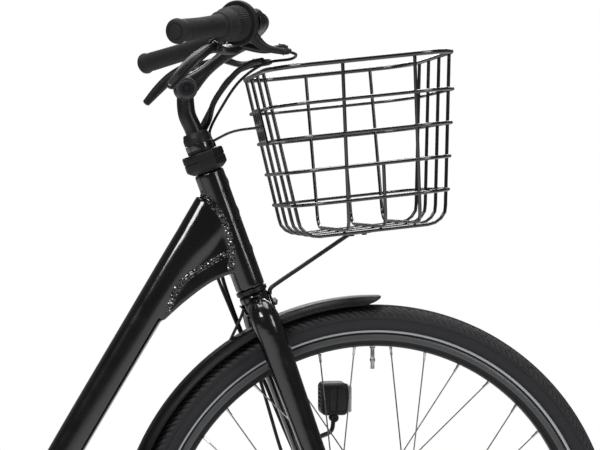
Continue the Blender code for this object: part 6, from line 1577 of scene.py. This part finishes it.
def puffed(obj, voxel, pressure, cap, frames=16):
    """Inflates a pad a little with a cloth simulation, then applies it."""
    scene = bpy.context.scene
    rest = obj.modifiers.new("skin", "REMESH")
    rest.mode = "VOXEL"
    rest.voxel_size = voxel
    rest.use_smooth_shade = True
    bpy.context.view_layer.update()
    mesh = evaluated(obj)
    mesh.materials.clear()
    mesh.materials.append(obj.data.materials[0])
    obj.modifiers.clear()
    obj.data = mesh
    start = [v.co.copy() for v in mesh.vertices]
    floor = min(v.z for v in start)
    group = obj.vertex_groups.new(name="held")
    group.add([i for i, v in enumerate(start) if v.z < floor + 0.03 and abs(v.y) < 0.02], 1.0, "REPLACE")
    cloth = obj.modifiers.new("cloth", "CLOTH")
    cloth.settings.effector_weights.gravity = 0.0
    cloth.settings.use_pressure = True
    cloth.settings.uniform_pressure_force = pressure
    cloth.settings.vertex_group_mass = "held"
    cloth.settings.quality = 4
    scene.frame_start, scene.frame_end = 1, frames
    for number in range(1, frames + 1):
        scene.frame_set(number)
    done = evaluated(obj)
    obj.modifiers.clear()
    scene.frame_set(1)
    for v, was in zip(mesh.vertices, start):
        move = done.vertices[v.index].co - was
        if move.length > cap:
            move *= cap / move.length
        v.co = was + move
    bpy.data.meshes.remove(done)
    mesh.shade_smooth()


saddle = piece("saddle_padding", saddle_cover(), "saddle_skin", "seat", ["saddle_cover"], angle=80)
puffed(saddle, 0.0035, 1.5, 0.0022)


# Floor, light and camera


def floor_material():
    """Pale studio floor that runs out into the white backdrop behind the bicycle."""
    mat, tree, shader, *_ = surface("pale_floor", (0.88, 0.88, 0.88), 0.75, tint=0.015, cell=2.0,
                                            grain=40.0, relief=0.02)
    spot = add(tree, "TexCoord").outputs["Object"]
    reach = add(tree, "VectorMath", {0: spot}, operation="LENGTH").outputs["Value"]
    far = add(tree, "MapRange", {"Value": reach, "From Min": 1.6, "From Max": 3.4}).outputs[0]
    seen = add(tree, "LightPath").outputs["Is Camera Ray"]
    white = add(tree, "Emission", {0: (1.0, 1.0, 1.0, 1.0), 1: 1.0})
    mix = add(tree, "MixShader",
              {0: calc(tree, "MULTIPLY", far, seen), 1: shader.outputs[0], 2: white.outputs[0]})
    tree.links.new(mix.outputs[0], tree.nodes["Material Output"].inputs[0])
    return mat


floor_mesh = bmesh.new()
bmesh.ops.create_circle(floor_mesh, cap_ends=True, segments=96, radius=60.0)
floor_data = bpy.data.meshes.new("studio_floor")
floor_mesh.to_mesh(floor_data)
floor_mesh.free()
floor = bpy.data.objects.new("studio_floor", floor_data)
floor.location.z = -0.0005
floor_data.materials.append(floor_material())
bpy.context.scene.collection.objects.link(floor)


def softbox(name, place, target, size, power):
    data = bpy.data.lights.new(name, "AREA")
    data.shape = "RECTANGLE"
    data.size, data.size_y = size
    data.energy = power
    lamp = bpy.data.objects.new(name, data)
    lamp.location = place
    lamp.rotation_euler = (Vector(target) - Vector(place)).to_track_quat("-Z", "Y").to_euler()
    bpy.context.scene.collection.objects.link(lamp)


softbox("key_box", (-2.2, -3.2, 3.4), (0.2, 0, 0.7), (1.8, 1.2), 110)
softbox("fill_box", (3.0, -2.8, 2.4), (0.3, 0, 0.7), (1.0, 2.0), 45)
softbox("top_box", (0.2, 0.3, 3.8), (0.2, 0, 0.6), (3.4, 1.8), 120)
softbox("back_box", (1.0, 3.6, 2.4), (0.2, 0, 0.7), (2.4, 1.2), 38)

world = bpy.data.worlds.new("studio")
bpy.context.scene.world = world
world.use_nodes = True
sky = world.node_tree
backdrop = sky.nodes["Background"]
backdrop.inputs[0].default_value = (1, 1, 1, 1)
backdrop.inputs[1].default_value = 0.12
seen = add(sky, "Background", {0: (1.0, 1.0, 1.0, 1.0), 1: 1.0})
rays = add(sky, "LightPath")
pick = add(sky, "MixShader", {0: rays.outputs["Is Camera Ray"]})
sky.links.new(backdrop.outputs[0], pick.inputs[1])
sky.links.new(seen.outputs[0], pick.inputs[2])
sky.links.new(pick.outputs[0], sky.nodes["World Output"].inputs[0])
bpy.context.scene.view_settings.view_transform = "Standard"

lens = bpy.data.cameras.new("photo_camera")
lens.lens = 110.305
lens.sensor_width = 36.0
lens.shift_x = 0.15
lens.clip_start, lens.clip_end = 0.05, 200.0
camera = bpy.data.objects.new("photo_camera", lens)
yaw, pitch, roll = 0.103, -0.0176, -0.0024
camera.matrix_world = (Matrix.Translation((XF - 0.503, -2.6, 0.877)) @ Matrix.Rotation(-yaw, 4, "Z")
                       @ Matrix.Rotation(pi / 2 + pitch, 4, "X") @ Matrix.Rotation(roll, 4, "Z"))
bpy.context.scene.collection.objects.link(camera)
bpy.context.scene.camera = camera
